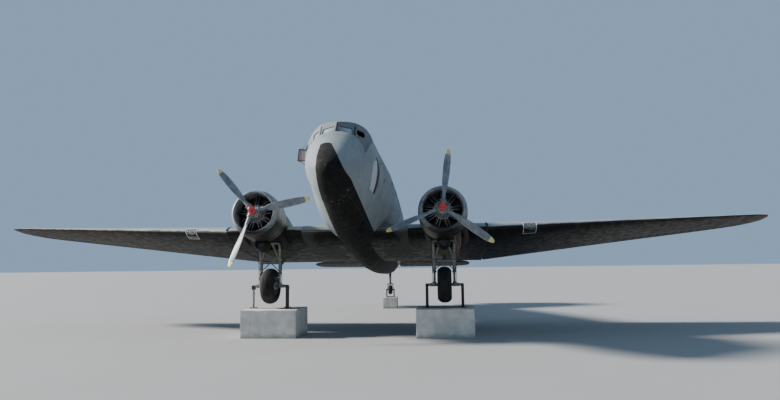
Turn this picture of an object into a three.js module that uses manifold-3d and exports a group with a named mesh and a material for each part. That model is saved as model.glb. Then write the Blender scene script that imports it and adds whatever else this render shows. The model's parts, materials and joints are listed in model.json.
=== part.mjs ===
// A twin-engined military transport plane with a tail wheel, standing on three concrete plinths.
//
// Millimetres. The plane is drawn level, in its own coordinates: x toward its port side, y aft
// from the nose tip, z up from the line through the two propeller hubs. The plane group then
// pitches it nose-up on its stand. In the finished group +Z is up, the nose points along -Y and
// the floor is Z = 0.

import * as THREE from 'three';
import { mergeVertices } from 'three/addons/utils/BufferGeometryUtils.js';
import Module from 'manifold-3d';

const wasm = await Module();
wasm.setup();

// Driving dimensions

const LENGTH = 19650;
const PITCH = THREE.MathUtils.degToRad(10.6);
const SKIN = 45;
const GAP = 0.3;
const PLAY = 8;
const LEAF_PLAY = 10;

const ENGINE_X = 2820;
const ENGINE_Y = 3560;
const CYLINDERS = 9;
const DISC_Y = 2990;
const BLADES = 3;
const COWL_RADIUS = 740;

const AXLE_Y = 5300;
const AXLE_Z = -1900;
const AXLE_HEIGHT = 1580;
const TYRE_RADIUS = 570;
const TYRE_WIDTH = 440;
const TAIL_AXLE_Y = 16720;
const TAIL_AXLE_Z = -420;
const TAIL_TYRE_RADIUS = 235;

const WING_JOINT = 4170;
const FLOOR_TOP = 160;

const PLINTH = { x: 1780, y: 1600, z: 870 };
const STARBOARD_PLINTH_SHIFT = 160;
const TAIL_PLINTH = { x: 710, y: 700, z: 570 };
const POST_OFFSET = 560;

// Where the fuselage's riveted sections meet

const NOSE_END = 1100;
const COCKPIT_END = 2600;
const FRONT_END = 6900;
const CABIN_END = 13300;

// Fuselage sections: distance aft, half width, top, bottom, height of the widest line, and the
// exponents of the superellipse quarters above and below that line

const FUSELAGE = [
  { y: 0, half: 60, top: 340, bottom: 220, widest: 280, above: 2.1, below: 1.65 },
  { y: 60, half: 230, top: 480, bottom: 80, widest: 290, above: 2.1, below: 1.65 },
  { y: 220, half: 400, top: 720, bottom: -90, widest: 360, above: 2.1, below: 1.65 },
  { y: 500, half: 570, top: 1030, bottom: -240, widest: 470, above: 2.1, below: 1.65 },
  { y: 800, half: 700, top: 1350, bottom: -340, widest: 600, above: 2.1, below: 1.65 },
  { y: 1100, half: 810, top: 1650, bottom: -420, widest: 750, above: 2.2, below: 1.65 },
  { y: 1101, half: 810, top: 1940, bottom: -420, widest: 750, above: 2.2, below: 1.65 },
  { y: 1620, half: 920, top: 2100, bottom: -510, widest: 1040, above: 3.4, below: 1.65 },
  { y: 2600, half: 1030, top: 2135, bottom: -620, widest: 1080, above: 2.7, below: 1.8 },
  { y: 3900, half: 1190, top: 2110, bottom: -690, widest: 1130, above: 2.2, below: 1.9 },
  { y: 5200, half: 1260, top: 2070, bottom: -720, widest: 1120, above: 2.1, below: 1.65 },
  { y: 9000, half: 1260, top: 2030, bottom: -690, widest: 1100, above: 2.1, below: 1.65 },
  { y: 11200, half: 1190, top: 2000, bottom: -500, widest: 1100, above: 2.1, below: 1.65 },
  { y: 13300, half: 1010, top: 1940, bottom: -180, widest: 1130, above: 2.1, below: 1.65 },
  { y: 15500, half: 690, top: 1790, bottom: 190, widest: 1150, above: 2.1, below: 1.65 },
  { y: 17300, half: 370, top: 1600, bottom: 560, widest: 1150, above: 2.1, below: 1.65 },
  { y: 18500, half: 170, top: 1380, bottom: 830, widest: 1120, above: 2.1, below: 1.65 },
  { y: 19100, half: 60, top: 1220, bottom: 1010, widest: 1115, above: 2.1, below: 1.65 },
];

// Wing stations from the centreline out: lateral place, leading and trailing edge and their
// heights, and thickness as a share of the chord

const WING = [
  { x: 0, le: 4560, te: 8980, leZ: -250, teZ: -420, thick: 0.14 },
  { x: 4170, le: 4560, te: 8980, leZ: -250, teZ: -420, thick: 0.14 },
  { x: 9000, le: 6054, te: 8975, leZ: 265, teZ: 165, thick: 0.11 },
  { x: 13200, le: 7353, te: 8960, leZ: 715, teZ: 670, thick: 0.08 },
  { x: 13850, le: 7620, te: 8900, leZ: 795, teZ: 765, thick: 0.075 },
  { x: 14180, le: 7860, te: 8770, leZ: 840, teZ: 820, thick: 0.07 },
  { x: 14340, le: 8080, te: 8620, leZ: 865, teZ: 850, thick: 0.065 },
  { x: 14400, le: 8260, te: 8450, leZ: 875, teZ: 870, thick: 0.06 },
];

// Tailplane stations, with the same columns

const TAILPLANE = [
  { x: 0, le: 15600, te: 18330, leZ: 1050, teZ: 1050, thick: 0.1 },
  { x: 3300, le: 16650, te: 18260, leZ: 1050, teZ: 1050, thick: 0.09 },
  { x: 3780, le: 16880, te: 18130, leZ: 1050, teZ: 1050, thick: 0.085 },
  { x: 3990, le: 17120, te: 17940, leZ: 1050, teZ: 1050, thick: 0.08 },
  { x: 4065, le: 17350, te: 17700, leZ: 1050, teZ: 1050, thick: 0.07 },
];

// Fin and rudder stations from the bottom up: height, leading and trailing edge, thickness share

const FIN = [
  { z: 1300, le: 14300, te: 19330, thick: 0.06 },
  { z: 1850, le: 15200, te: 19560, thick: 0.075 },
  { z: 2600, le: 15900, te: 19650, thick: 0.08 },
  { z: 3500, le: 16420, te: 19560, thick: 0.08 },
  { z: 4150, le: 16830, te: 19270, thick: 0.08 },
  { z: 4520, le: 17200, te: 18930, thick: 0.075 },
  { z: 4700, le: 17600, te: 18560, thick: 0.07 },
  { z: 4750, le: 17850, te: 18300, thick: 0.06 },
];

// Nacelle sections behind the cowl: distance aft, half width, top, bottom

const NACELLE = [
  { y: 4160, half: 630, top: 630, bottom: -640 },
  { y: 4700, half: 650, top: 610, bottom: -790 },
  { y: 5500, half: 620, top: 540, bottom: -830 },
  { y: 6500, half: 530, top: 420, bottom: -790 },
  { y: 7500, half: 380, top: 220, bottom: -680 },
  { y: 8300, half: 210, top: -20, bottom: -560 },
  { y: 8800, half: 70, top: -230, bottom: -460 },
];

// Propeller blade sections: radius, chord, thickness and blade angle in degrees

const BLADE = [
  { r: 90, chord: 120, thick: 120, angle: 60 },
  { r: 300, chord: 120, thick: 110, angle: 60 },
  { r: 480, chord: 190, thick: 80, angle: 52 },
  { r: 850, chord: 240, thick: 44, angle: 38 },
  { r: 1250, chord: 235, thick: 28, angle: 27 },
  { r: 1580, chord: 185, thick: 18, angle: 21 },
  { r: 1720, chord: 120, thick: 13, angle: 19 },
  { r: 1780, chord: 40, thick: 8, angle: 18 },
];

// Materials

const COLOURS = {
  olive: [0x6b6f5a, 0.7, 0.1],
  black: [0x24241f, 0.75, 0.1],
  metal: [0x9a9a94, 0.45, 0.8],
  steel: [0x5a534b, 0.7, 0.4],
  blade: [0x8f9296, 0.5, 0.5],
  red: [0xb3262b, 0.5, 0.1],
  rubber: [0x1d1d1e, 0.9, 0],
  glass: [0x26303a, 0.1, 0.1],
  concrete: [0xb9b5aa, 0.9, 0],
  seat: [0x3c3f38, 0.8, 0],
};

const plane = new THREE.Group();
const stand = new THREE.Group();
const group = new THREE.Group();
group.add(plane, stand);

function add(name, colour, solid, hinge = null, parent = plane) {
  const [color, roughness, metalness] = COLOURS[colour];
  const material = new THREE.MeshStandardMaterial({ color, roughness, metalness });
  const mesh = new THREE.Mesh(toGeometry(solid), material);
  mesh.name = name;
  mesh.userData.hinge = hinge;
  parent.add(mesh);
  return mesh;
}

// Closed geometry from vertices and triangles, turned inside out if its volume is negative

function closedGeometry(points, triangles) {
  let volume = 0;
  for (const [a, b, c] of triangles) {
    volume += points[a].dot(new THREE.Vector3().crossVectors(points[b], points[c]));
  }
  const index = triangles.flatMap(([a, b, c]) => (volume > 0 ? [a, b, c] : [a, c, b]));
  const geometry = new THREE.BufferGeometry();
  geometry.setFromPoints(points);
  geometry.setIndex(index);
  return geometry;
}

function toSolid(geometry) {
  const bare = geometry.clone();
  bare.deleteAttribute('normal');
  bare.deleteAttribute('uv');
  const merged = mergeVertices(bare, 1e-3);
  const vertProperties = Float32Array.from(merged.attributes.position.array);
  const triVerts = Uint32Array.from(merged.index.array);
  return new wasm.Manifold(new wasm.Mesh({ numProp: 3, vertProperties, triVerts }));
}

function toGeometry(solid) {
  const mesh = solid.getMesh();
  const geometry = new THREE.BufferGeometry();
  geometry.setAttribute('position', new THREE.BufferAttribute(mesh.vertProperties, 3));
  geometry.setIndex(new THREE.BufferAttribute(mesh.triVerts, 1));
  return geometry;
}

function join(...solids) {
  return solids.reduce((whole, solid) => whole.add(solid));
}

function cut(solid, ...tools) {
  return tools.reduce((rest, tool) => rest.subtract(tool), solid);
}

function vec(x, y, z) {
  return new THREE.Vector3(x, y, z);
}

// Solid skinned over rings of points that all have the same count

function loft(rings) {
  const n = rings[0].length;
  const points = rings.flat();
  const triangles = [];
  for (let r = 0; r < rings.length - 1; r++) {
    for (let k = 0; k < n; k++) {
      const a = r * n + k;
      const b = r * n + (k + 1) % n;
      triangles.push([a, b, b + n], [a, b + n, a + n]);
    }
  }
  const last = (rings.length - 1) * n;
  for (const [start, flip] of [[0, true], [last, false]]) {
    const centre = points.length;
    const ring = points.slice(start, start + n);
    points.push(ring.reduce((sum, p) => sum.add(p), vec(0, 0, 0)).divideScalar(n));
    for (let k = 0; k < n; k++) {
      const a = start + k;
      const b = start + (k + 1) % n;
      triangles.push(flip ? [b, a, centre] : [a, b, centre]);
    }
  }
  return toSolid(closedGeometry(points, triangles));
}

function box(low, high) {
  const size = vec(high[0] - low[0], high[1] - low[1], high[2] - low[2]);
  const geometry = new THREE.BoxGeometry(size.x, size.y, size.z);
  geometry.translate(low[0] + size.x / 2, low[1] + size.y / 2, low[2] + size.z / 2);
  return toSolid(geometry);
}

// Box in a frame of its own: x along the line from a to b, y as near to "aft" as that allows

function alignedBox(a, b, aft, low, high) {
  const ex = b.clone().sub(a).normalize();
  const ez = new THREE.Vector3().crossVectors(ex, aft).normalize();
  const ey = new THREE.Vector3().crossVectors(ez, ex);
  const geometry = new THREE.BoxGeometry(high[0] - low[0], high[1] - low[1], high[2] - low[2]);
  const middle = low.map((value, i) => (value + high[i]) / 2);
  geometry.translate(...middle);
  geometry.applyMatrix4(new THREE.Matrix4().makeBasis(ex, ey, ez).setPosition(a));
  return toSolid(geometry);
}

// Round bar, or a taper, between two points

function rod(a, b, radius, sides = 12, endRadius = radius) {
  const length = a.distanceTo(b);
  const geometry = new THREE.CylinderGeometry(endRadius, radius, length, sides);
  geometry.translate(0, length / 2, 0);
  const direction = b.clone().sub(a).normalize();
  const turn = new THREE.Quaternion().setFromUnitVectors(vec(0, 1, 0), direction);
  geometry.applyQuaternion(turn);
  geometry.translate(a.x, a.y, a.z);
  return toSolid(geometry);
}

// Round body from a closed profile of [radius, place along the axis], about the y or x axis

function turned(profile, centre, axis = 'y', segments = 28) {
  const points = profile.map(([r, h]) => new THREE.Vector2(r, h));
  const geometry = new THREE.LatheGeometry(points, segments);
  if (axis === 'x') {
    geometry.rotateZ(-Math.PI / 2);
  }
  geometry.translate(centre.x, centre.y, centre.z);
  const bare = geometry.clone();
  bare.deleteAttribute('normal');
  bare.deleteAttribute('uv');
  const merged = mergeVertices(bare, 1e-3);
  const vertices = merged.attributes.position;
  const list = [];
  for (let i = 0; i < vertices.count; i++) {
    list.push(new THREE.Vector3().fromBufferAttribute(vertices, i));
  }
  const triangles = [];
  for (let i = 0; i < merged.index.count; i += 3) {
    const [a, b, c] = [0, 1, 2].map((k) => merged.index.getX(i + k));
    if (a !== b && b !== c && a !== c) {
      triangles.push([a, b, c]);
    }
  }
  return toSolid(closedGeometry(list, triangles));
}

function mirrored(solid) {
  const geometry = toGeometry(solid);
  geometry.scale(-1, 1, 1);
  const index = geometry.index;
  for (let i = 0; i < index.count; i += 3) {
    const a = index.getX(i);
    index.setX(i, index.getX(i + 1));
    index.setX(i + 1, a);
  }
  return toSolid(geometry);
}

// The mirrored hinge keeps its sense of turn, because its two ends change places

function mirroredHinge(hinge) {
  const flip = ([x, y, z]) => [-x, y, z];
  return { ...hinge, from: flip(hinge.to), to: flip(hinge.from) };
}

// Adds a port piece and its mirror image to starboard

function addPair(name, colour, solid, hinge = null) {
  add(`${name}_port`, colour, solid, hinge);
  add(`${name}_starboard`, colour, mirrored(solid), hinge && mirroredHinge(hinge));
}

// Value of a table's column at a place, in a straight line between its rows

function between(table, key, place, column) {
  const next = table.findIndex((row) => row[key] >= place);
  if (next <= 0) {
    return (next < 0 ? table.at(-1) : table[0])[column];
  }
  const [a, b] = [table[next - 1], table[next]];
  const share = (place - a[key]) / (b[key] - a[key]);
  return a[column] + share * (b[column] - a[column]);
}

// Fuselage

const RING_POINTS = 28;
const FUSELAGE_COLUMNS = ['half', 'top', 'bottom', 'widest', 'above', 'below'];
const STATIONS = [...FUSELAGE.map((row) => row.y), NOSE_END, COCKPIT_END, FRONT_END, CABIN_END];

// Rounded ring across the fuselage, each quarter a superellipse, inset or grown by "grow"

function fuselageRing(row, y, grow = 0) {
  const ring = [];
  for (let k = 0; k < RING_POINTS; k++) {
    const t = (2 * Math.PI * k) / RING_POINTS;
    const power = 2 / (Math.sin(t) > 0 ? row.above : row.below);
    const c = Math.sign(Math.cos(t)) * Math.abs(Math.cos(t)) ** power;
    const s = Math.sign(Math.sin(t)) * Math.abs(Math.sin(t)) ** power;
    const reach = s > 0 ? row.top - row.widest + grow : row.widest - row.bottom + grow;
    ring.push(vec((row.half + grow) * c, y, row.widest + reach * s));
  }
  return ring;
}

function fuselageRow(y) {
  const row = { y };
  for (const column of FUSELAGE_COLUMNS) {
    row[column] = between(FUSELAGE, 'y', y, column);
  }
  return row;
}

function fuselageBody(from, to, grow = 0) {
  const inside = STATIONS.filter((y) => y > from && y < to);
  const places = [...new Set([from, ...inside, to])].sort((a, b) => a - b);
  return loft(places.map((y) => fuselageRing(fuselageRow(y), y, grow)));
}

function fuselageShell(from, to) {
  const inside = fuselageBody(from - 1, to + 1, -SKIN);
  return cut(fuselageBody(from, to), inside);
}

// Wing-like bodies

const CHORD_STEPS = 8;
const EDGE = 4;
const CAMBER = 0.02;

function camberLine(share, camber) {
  const peak = 0.4;
  if (share < peak) {
    return (camber * (2 * peak * share - share * share)) / peak ** 2;
  }
  return (camber * (1 - 2 * peak + 2 * peak * share - share * share)) / (1 - peak) ** 2;
}

function halfThickness(share, thick) {
  const x = share;
  const root = 0.2969 * Math.sqrt(x);
  return 5 * thick * (root - 0.126 * x - 0.3516 * x ** 2 + 0.2843 * x ** 3 - 0.1015 * x ** 4);
}

// Section of an aerofoil as pairs of [share of chord, height in chords], once round

function aerofoil(thick, camber, chord) {
  const shares = [];
  for (let k = 0; k <= CHORD_STEPS; k++) {
    shares.push((1 - Math.cos((Math.PI * k) / CHORD_STEPS)) / 2);
  }
  const half = (share) => Math.max(halfThickness(share, thick), share > 0 ? EDGE / chord : 0);
  const upper = shares.map((share) => [share, camberLine(share, camber) + half(share)]);
  const lower = shares.slice(1).map((share) => [share, camberLine(share, camber) - half(share)]);
  return [...upper, ...lower.reverse()];
}

function wingRing(row, camber, grow = 0) {
  const chord = row.te - row.le;
  return aerofoil(row.thick, camber, chord).map(([share, height]) => {
    const lift = height * chord * (1 + (2 * grow) / (row.thick * chord));
    const y = row.le - grow + share * (chord + 2 * grow);
    return vec(row.x, y, row.leZ + share * (row.teZ - row.leZ) + lift);
  });
}

function finRing(row) {
  const chord = row.te - row.le;
  const section = aerofoil(row.thick, 0, chord);
  return section.map(([share, height]) => vec(height * chord, row.le + share * chord, row.z));
}

// Point on a wing-like body at a lateral place and a share of the chord, and the section there

function wingPoint(table, x, share, camber, side = 0) {
  const row = { le: 0, te: 0, leZ: 0, teZ: 0, thick: 0 };
  for (const column of Object.keys(row)) {
    row[column] = between(table, 'x', x, column);
  }
  const chord = row.te - row.le;
  const middle = camberLine(share, camber);
  const height = (middle + side * halfThickness(share, row.thick)) * chord;
  const z = row.leZ + share * (row.teZ - row.leZ) + height;
  return { point: vec(x, row.le + share * chord, z), half: halfThickness(share, row.thick) * chord };
}

// Splits a control surface with a round nose from a wing-like body along its hinge line.
// The body keeps a recess, and both have ends square to the hinge.

function controlSurface(body, hingeA, hingeB, radiusA, radiusB, aft, reach, travel) {
  const length = hingeA.distanceTo(hingeB);
  const front = Math.max(radiusA, radiusB) + PLAY;
  const recess = alignedBox(hingeA, hingeB, aft, [0, -front, -reach], [length, reach * 4, reach]);
  const inner = [PLAY, 0, -reach];
  const outer = [length - PLAY, reach * 4, reach];
  const blade = body.intersect(alignedBox(hingeA, hingeB, aft, inner, outer));
  const along = hingeB.clone().sub(hingeA).normalize();
  const noseA = hingeA.clone().addScaledVector(along, PLAY);
  const noseB = hingeB.clone().addScaledVector(along, -PLAY);
  const nose = rod(noseA, noseB, radiusA, 16, radiusB);
  const hinge = { from: hingeA.toArray(), to: hingeB.toArray(), travel };
  return { fixed: cut(body, recess), moving: join(blade, nose), hinge };
}

// Fuselage sections, cockpit and doors

const PANE_RAKE = 0.45;
const POST_FOOT = vec(0, 1085, 1660);
const CORNER_X = 480;

// Flat faces of the cockpit's front, one beside the centre post and one outside the corner post:
// how far each sweeps aft per millimetre outward, and where it starts aft of the centre post

const FRONT_FACE = { sweep: 0.45, start: 0 };
const CORNER_FACE = { sweep: 1.1, start: CORNER_X * (0.45 - 1.1) };

// Sill below the faces: lateral place, height at the face, and height at the nose section

const SILL = [
  { x: -2, sill: 1655, nose: 1650 },
  { x: 300, sill: 1630, nose: 1602 },
  { x: 480, sill: 1577, nose: 1507 },
  { x: 650, sill: 1560, nose: 1332 },
  { x: 750, sill: 1550, nose: 1137 },
  { x: 800, sill: 1547, nose: 924 },
  { x: 820, sill: 1545, nose: 650 },
  { x: 870, sill: 1541, nose: 227 },
  { x: 900, sill: 1538, nose: -375 },
  { x: 920, sill: 1536, nose: -1420 },
  { x: 950, sill: 1533, nose: -3000 },
  { x: 1300, sill: 1500, nose: -3000 },
];

function faceY(face, x, z) {
  return POST_FOOT.y + face.start + (z - POST_FOOT.z) * PANE_RAKE + x * face.sweep;
}

function facePoint(face, x, z) {
  return vec(x, faceY(face, x, z), z);
}

function faceOut(face) {
  return vec(face.sweep, -1, PANE_RAKE).normalize();
}

// Block in front of a face and above the sill, moved inward by the inset

function faceCut(face, side, inset) {
  return loft(SILL.map(({ x, sill, nose }) => {
    const point = (y, z) => vec(side * x, y, z);
    const [low, high] = [sill - inset, 2500];
    return [
      point(faceY(face, x, low) + inset, low),
      point(faceY(face, x, high) + inset, high),
      point(NOSE_END - 400, high),
      point(NOSE_END - 400, nose - inset),
      point(NOSE_END - 30, nose - inset),
    ];
  }));
}

function windscreenCuts(inset) {
  return [FRONT_FACE, CORNER_FACE].flatMap((face) => [1, -1].map((side) => faceCut(face, side, inset)));
}

const WING_CUT = loft([-WING_JOINT, WING_JOINT].map((x) => wingRing({ ...WING[0], x }, CAMBER, GAP)));

function prism(corners, direction, from, to) {
  const place = (distance) => corners.map((p) => p.clone().addScaledVector(direction, distance));
  return loft([place(from), place(to)]);
}

// Windows in the two faces as outlines of [lateral place, height]

const PANE = [[45, 1690], [450, 1612], [405, 1820], [45, 1842]];
const CORNER_WINDOW = [[515, 1660], [585, 1590], [725, 1585], [735, 1700], [690, 1800], [515, 1810]];

// Cockpit side window as an outline of [distance aft, height]

const SIDE_WINDOW = [[1900, 1600], [2430, 1600], [2430, 1900], [1960, 1900]];

function shrink(corners, margin) {
  const middle = corners.reduce((sum, p) => sum.add(p), vec(0, 0, 0)).divideScalar(corners.length);
  return corners.map((p) => p.clone().lerp(middle, margin / p.distanceTo(middle)));
}

let cockpit = fuselageBody(NOSE_END + GAP, COCKPIT_END);
cockpit = cut(cockpit, ...windscreenCuts(0));
let cockpitInside = fuselageBody(NOSE_END - 1, COCKPIT_END + 1, -SKIN);
cockpitInside = cut(cockpitInside, ...windscreenCuts(SKIN));
cockpit = cut(cockpit, cockpitInside);

const paneCorners = PANE.map(([x, z]) => facePoint(FRONT_FACE, x, z));
const cornerCorners = CORNER_WINDOW.map(([x, z]) => facePoint(CORNER_FACE, x, z));
const sideCorners = SIDE_WINDOW.map(([y, z]) => vec(0, y, z));
const windowHoles = [
  prism(paneCorners, faceOut(FRONT_FACE), -150, 150),
  prism(cornerCorners, faceOut(CORNER_FACE), -150, 150),
  prism(sideCorners, vec(1, 0, 0), 300, 1500),
];
for (const hole of windowHoles) {
  cockpit = cut(cockpit, hole, mirrored(hole));
}
const glassSheet = prism(shrink(paneCorners, 2), faceOut(FRONT_FACE), -30, -18);
add('windscreen_pane_port', 'glass', glassSheet);
add('windscreen_pane_starboard', 'glass', mirrored(glassSheet));

const CREW_DOOR = { from: 2640, to: 3340, low: 390, high: 1480 };
const CARGO_DOOR = { from: 10900, middle: 11980, to: 13050, low: 190, high: 1780 };

// A door leaf: an outer skin, and an inner frame that is set back from the skin's free edges so
// that the curved leaf swings past its neighbour

const DOOR_SKIN = 10;
const DOOR_SET_BACK = 45;

function doorPiece({ from, to, low, high }, backFrom, backTo) {
  const opening = box([300, from - 1, low + PLAY], [1500, to + 1, high - PLAY]);
  const skin = cut(fuselageBody(from, to), fuselageBody(from - 1, to + 1, -DOOR_SKIN));
  const inner = [from + backFrom, to - backTo];
  const frame = cut(fuselageBody(...inner, 1 - DOOR_SKIN), fuselageBody(from - 1, to + 1, -SKIN));
  return join(skin, frame).intersect(opening);
}

add('fuselage_nose', 'olive', fuselageBody(0, NOSE_END));
add('fuselage_cockpit', 'olive', cockpit);

const crewHole = box([300, CREW_DOOR.from, CREW_DOOR.low], [1500, CREW_DOOR.to, CREW_DOOR.high]);
add('fuselage_cabin_front', 'olive',
  cut(fuselageShell(COCKPIT_END + GAP, FRONT_END), WING_CUT, crewHole));

const cargoHole = box([300, CARGO_DOOR.from, CARGO_DOOR.low],
  [1500, CARGO_DOOR.to, CARGO_DOOR.high]);
add('fuselage_cabin_rear', 'olive',
  cut(fuselageShell(FRONT_END + GAP, CABIN_END), WING_CUT, cargoHole));

function doorHinge(y, travel) {
  const x = between(FUSELAGE, 'y', y, 'half') + 12;
  return { from: [x, y, 0], to: [x, y, 1000], travel };
}

add('crew_door', 'olive',
  doorPiece({ ...CREW_DOOR, from: CREW_DOOR.from + PLAY, to: CREW_DOOR.to - LEAF_PLAY }, 0, DOOR_SET_BACK),
  doorHinge(CREW_DOOR.from, [-90, 0]));

const frontLeaf = { ...CARGO_DOOR, from: CARGO_DOOR.from + PLAY, to: CARGO_DOOR.middle - LEAF_PLAY };
const rearLeaf = { ...CARGO_DOOR, from: CARGO_DOOR.middle + LEAF_PLAY, to: CARGO_DOOR.to - PLAY };
add('cargo_door_front', 'olive', doorPiece(frontLeaf, 0, DOOR_SET_BACK),
  doorHinge(CARGO_DOOR.from, [-150, 0]));
add('cargo_door_rear', 'olive', doorPiece(rearLeaf, DOOR_SET_BACK, 0),
  doorHinge(CARGO_DOOR.to, [0, 150]));

// Cabin and cockpit fittings

function insideBody(from, to) {
  return fuselageBody(from, to, -SKIN - 3);
}

const cabinFloor = insideBody(COCKPIT_END + 40, CABIN_END - 2)
  .intersect(box([-1400, COCKPIT_END, FLOOR_TOP - 40], [1400, CABIN_END, FLOOR_TOP]));
add('cabin_floor', 'metal', cabinFloor);

const bulkhead = insideBody(COCKPIT_END, COCKPIT_END + 39);
const bulkheadDoor = box([-330, COCKPIT_END - 10, 130], [330, COCKPIT_END + 50, 1760]);
add('cockpit_bulkhead', 'olive', cut(bulkhead, bulkheadDoor));

const cockpitFloor = insideBody(NOSE_END + 10, COCKPIT_END - 2)
  .intersect(box([-1400, NOSE_END, 250], [1400, COCKPIT_END, 290]));
const panelBox = box([-600, 1300, 1000], [600, 1500, 1430]);
const panelBody = cut(insideBody(1400, 1460).intersect(panelBox), ...windscreenCuts(SKIN + GAP));
const panelLegs = box([-300, 1400, 280], [300, 1460, 1010]);
add('instrument_panel', 'black', join(panelBody, panelLegs, cockpitFloor));

const seatX = 430;
const seatParts = [-1, 1].flatMap((side) => [
  box([side * seatX - 220, 1900, 600], [side * seatX + 220, 2330, 690]),
  box([side * seatX - 210, 2270, 680], [side * seatX + 210, 2340, 1330]),
  box([side * seatX - 60, 2050, 290 + GAP], [side * seatX + 60, 2200, 610]),
]);
const seatBeam = box([-seatX, 2060, 330], [seatX, 2120, 370]);
add('pilot_seats', 'seat', join(...seatParts, seatBeam));

// Tail cone

add('fuselage_tail', 'olive', fuselageBody(CABIN_END + GAP, FUSELAGE.at(-1).y));

// Wings

const wingTable = (rows) => loft(rows.map((row) => wingRing(row, CAMBER)));

const FLAP_THICK = 24;
const FLAP_SHARE = 0.8;
const FLAP_TRAVEL = [-45, 0];
const INNER_FLAP = { from: 620, to: 3900 };
const OUTER_FLAP = { from: 4260, to: 8900 };

// Split flap: the plate that forms the wing's lower surface behind its hinge

function splitFlap(body, xa, xb, travel) {
  const a = wingPoint(WING, xa, FLAP_SHARE, CAMBER, -1).point;
  const b = wingPoint(WING, xb, FLAP_SHARE, CAMBER, -1).point;
  const tail = wingPoint(WING, xa, 1, CAMBER, -1).point;
  const aft = tail.clone().sub(a);
  const reach = aft.length();
  const length = a.distanceTo(b);
  const low = [PLAY, 0, -120];
  const high = [length - PLAY, reach + 60, FLAP_THICK];
  const moving = body.intersect(alignedBox(a, b, aft, low, high));
  const recess = alignedBox(a, b, aft, [0, -24, -160], [length, reach + 80, FLAP_THICK + PLAY]);
  const up = new THREE.Vector3().crossVectors(b.clone().sub(a), aft).normalize();
  const from = a.clone().addScaledVector(up, FLAP_THICK / 2);
  const to = b.clone().addScaledVector(up, FLAP_THICK / 2);
  const hinge = { from: from.toArray(), to: to.toArray(), travel };
  return { recess, moving, hinge };
}

let centreWing = loft([-WING_JOINT, WING_JOINT].map((x) => wingRing({ ...WING[0], x }, CAMBER)));
const innerFlap = splitFlap(centreWing, INNER_FLAP.from, INNER_FLAP.to, FLAP_TRAVEL);
centreWing = cut(centreWing, innerFlap.recess, mirrored(innerFlap.recess));
addPair('flap_inner', 'black', innerFlap.moving, innerFlap.hinge);

const outerRows = WING.slice(1).map((row, i) => (i ? row : { ...row, x: row.x + GAP }));
let outerWing = wingTable(outerRows);
const outerFlap = splitFlap(outerWing, OUTER_FLAP.from, OUTER_FLAP.to, FLAP_TRAVEL);
outerWing = cut(outerWing, outerFlap.recess);

const AILERON = { from: 9150, to: 13200, share: 0.74 };
const aileronA = wingPoint(WING, AILERON.from, AILERON.share, CAMBER);
const aileronB = wingPoint(WING, AILERON.to, AILERON.share, CAMBER);
const aileron = controlSurface(outerWing, aileronA.point, aileronB.point,
  aileronA.half - 4, aileronB.half - 3, vec(0, 1, 0), 400, [-25, 25]);
outerWing = aileron.fixed;

// Landing lamp in a square-cut recess of the leading edge

const LAMP = { x: 5550, half: 215, high: 115, depth: 220, radius: 95, length: 110 };
const lampPlace = wingPoint(WING, LAMP.x, 0, CAMBER).point;
const lampHole = box(
  [LAMP.x - LAMP.half, lampPlace.y - 200, lampPlace.z - LAMP.high],
  [LAMP.x + LAMP.half, lampPlace.y + LAMP.depth, lampPlace.z + LAMP.high]);
const lampBack = lampPlace.clone().add(vec(0, LAMP.depth + 20, 0));
const lampFace = rod(lampBack, lampBack.clone().add(vec(0, -20 - LAMP.length, 0)), LAMP.radius, 16);
outerWing = join(cut(outerWing, lampHole), lampFace);

addPair('wing', 'black', outerWing);
addPair('flap_outer', 'black', outerFlap.moving, outerFlap.hinge);
addPair('aileron', 'black', aileron.moving, aileron.hinge);

// Fillet that blends the wing's upper surface into the fuselage side, growing toward the tail

const FILLET = [
  { x: 700, rise: 620 },
  { x: 1130, rise: 420 },
  { x: 1270, rise: 200 },
  { x: 1450, rise: 70 },
  { x: 1700, rise: 0 },
];
const filletRings = FILLET.map(({ x, rise }) => {
  const ring = wingRing({ ...WING[0], x }, CAMBER);
  return ring.map((p, k) => {
    const share = (p.y - WING[0].le) / (WING[0].te - WING[0].le);
    const lifted = k <= CHORD_STEPS ? rise * share : 0;
    return vec(p.x, p.y + share * rise, p.z + lifted);
  });
});
const filletBody = fuselageBody(COCKPIT_END, CABIN_END, GAP);
const filletRecess = box([600, innerFlap.hinge.from[1] - 40, -900], [1800, 10000, -240]);
const fillet = cut(loft(filletRings), filletRecess);

// Nacelles, cowls and engines, drawn on the centreline and then moved out

function roundRing(row, points = 20) {
  const ring = [];
  const middle = (row.top + row.bottom) / 2;
  for (let k = 0; k < points; k++) {
    const t = (2 * Math.PI * k) / points;
    const c = Math.sign(Math.cos(t)) * Math.abs(Math.cos(t)) ** 0.92;
    const s = Math.sign(Math.sin(t)) * Math.abs(Math.sin(t)) ** 0.92;
    ring.push(vec(ENGINE_X + row.half * c, row.y, middle + ((row.top - row.bottom) / 2) * s));
  }
  return ring;
}

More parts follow.
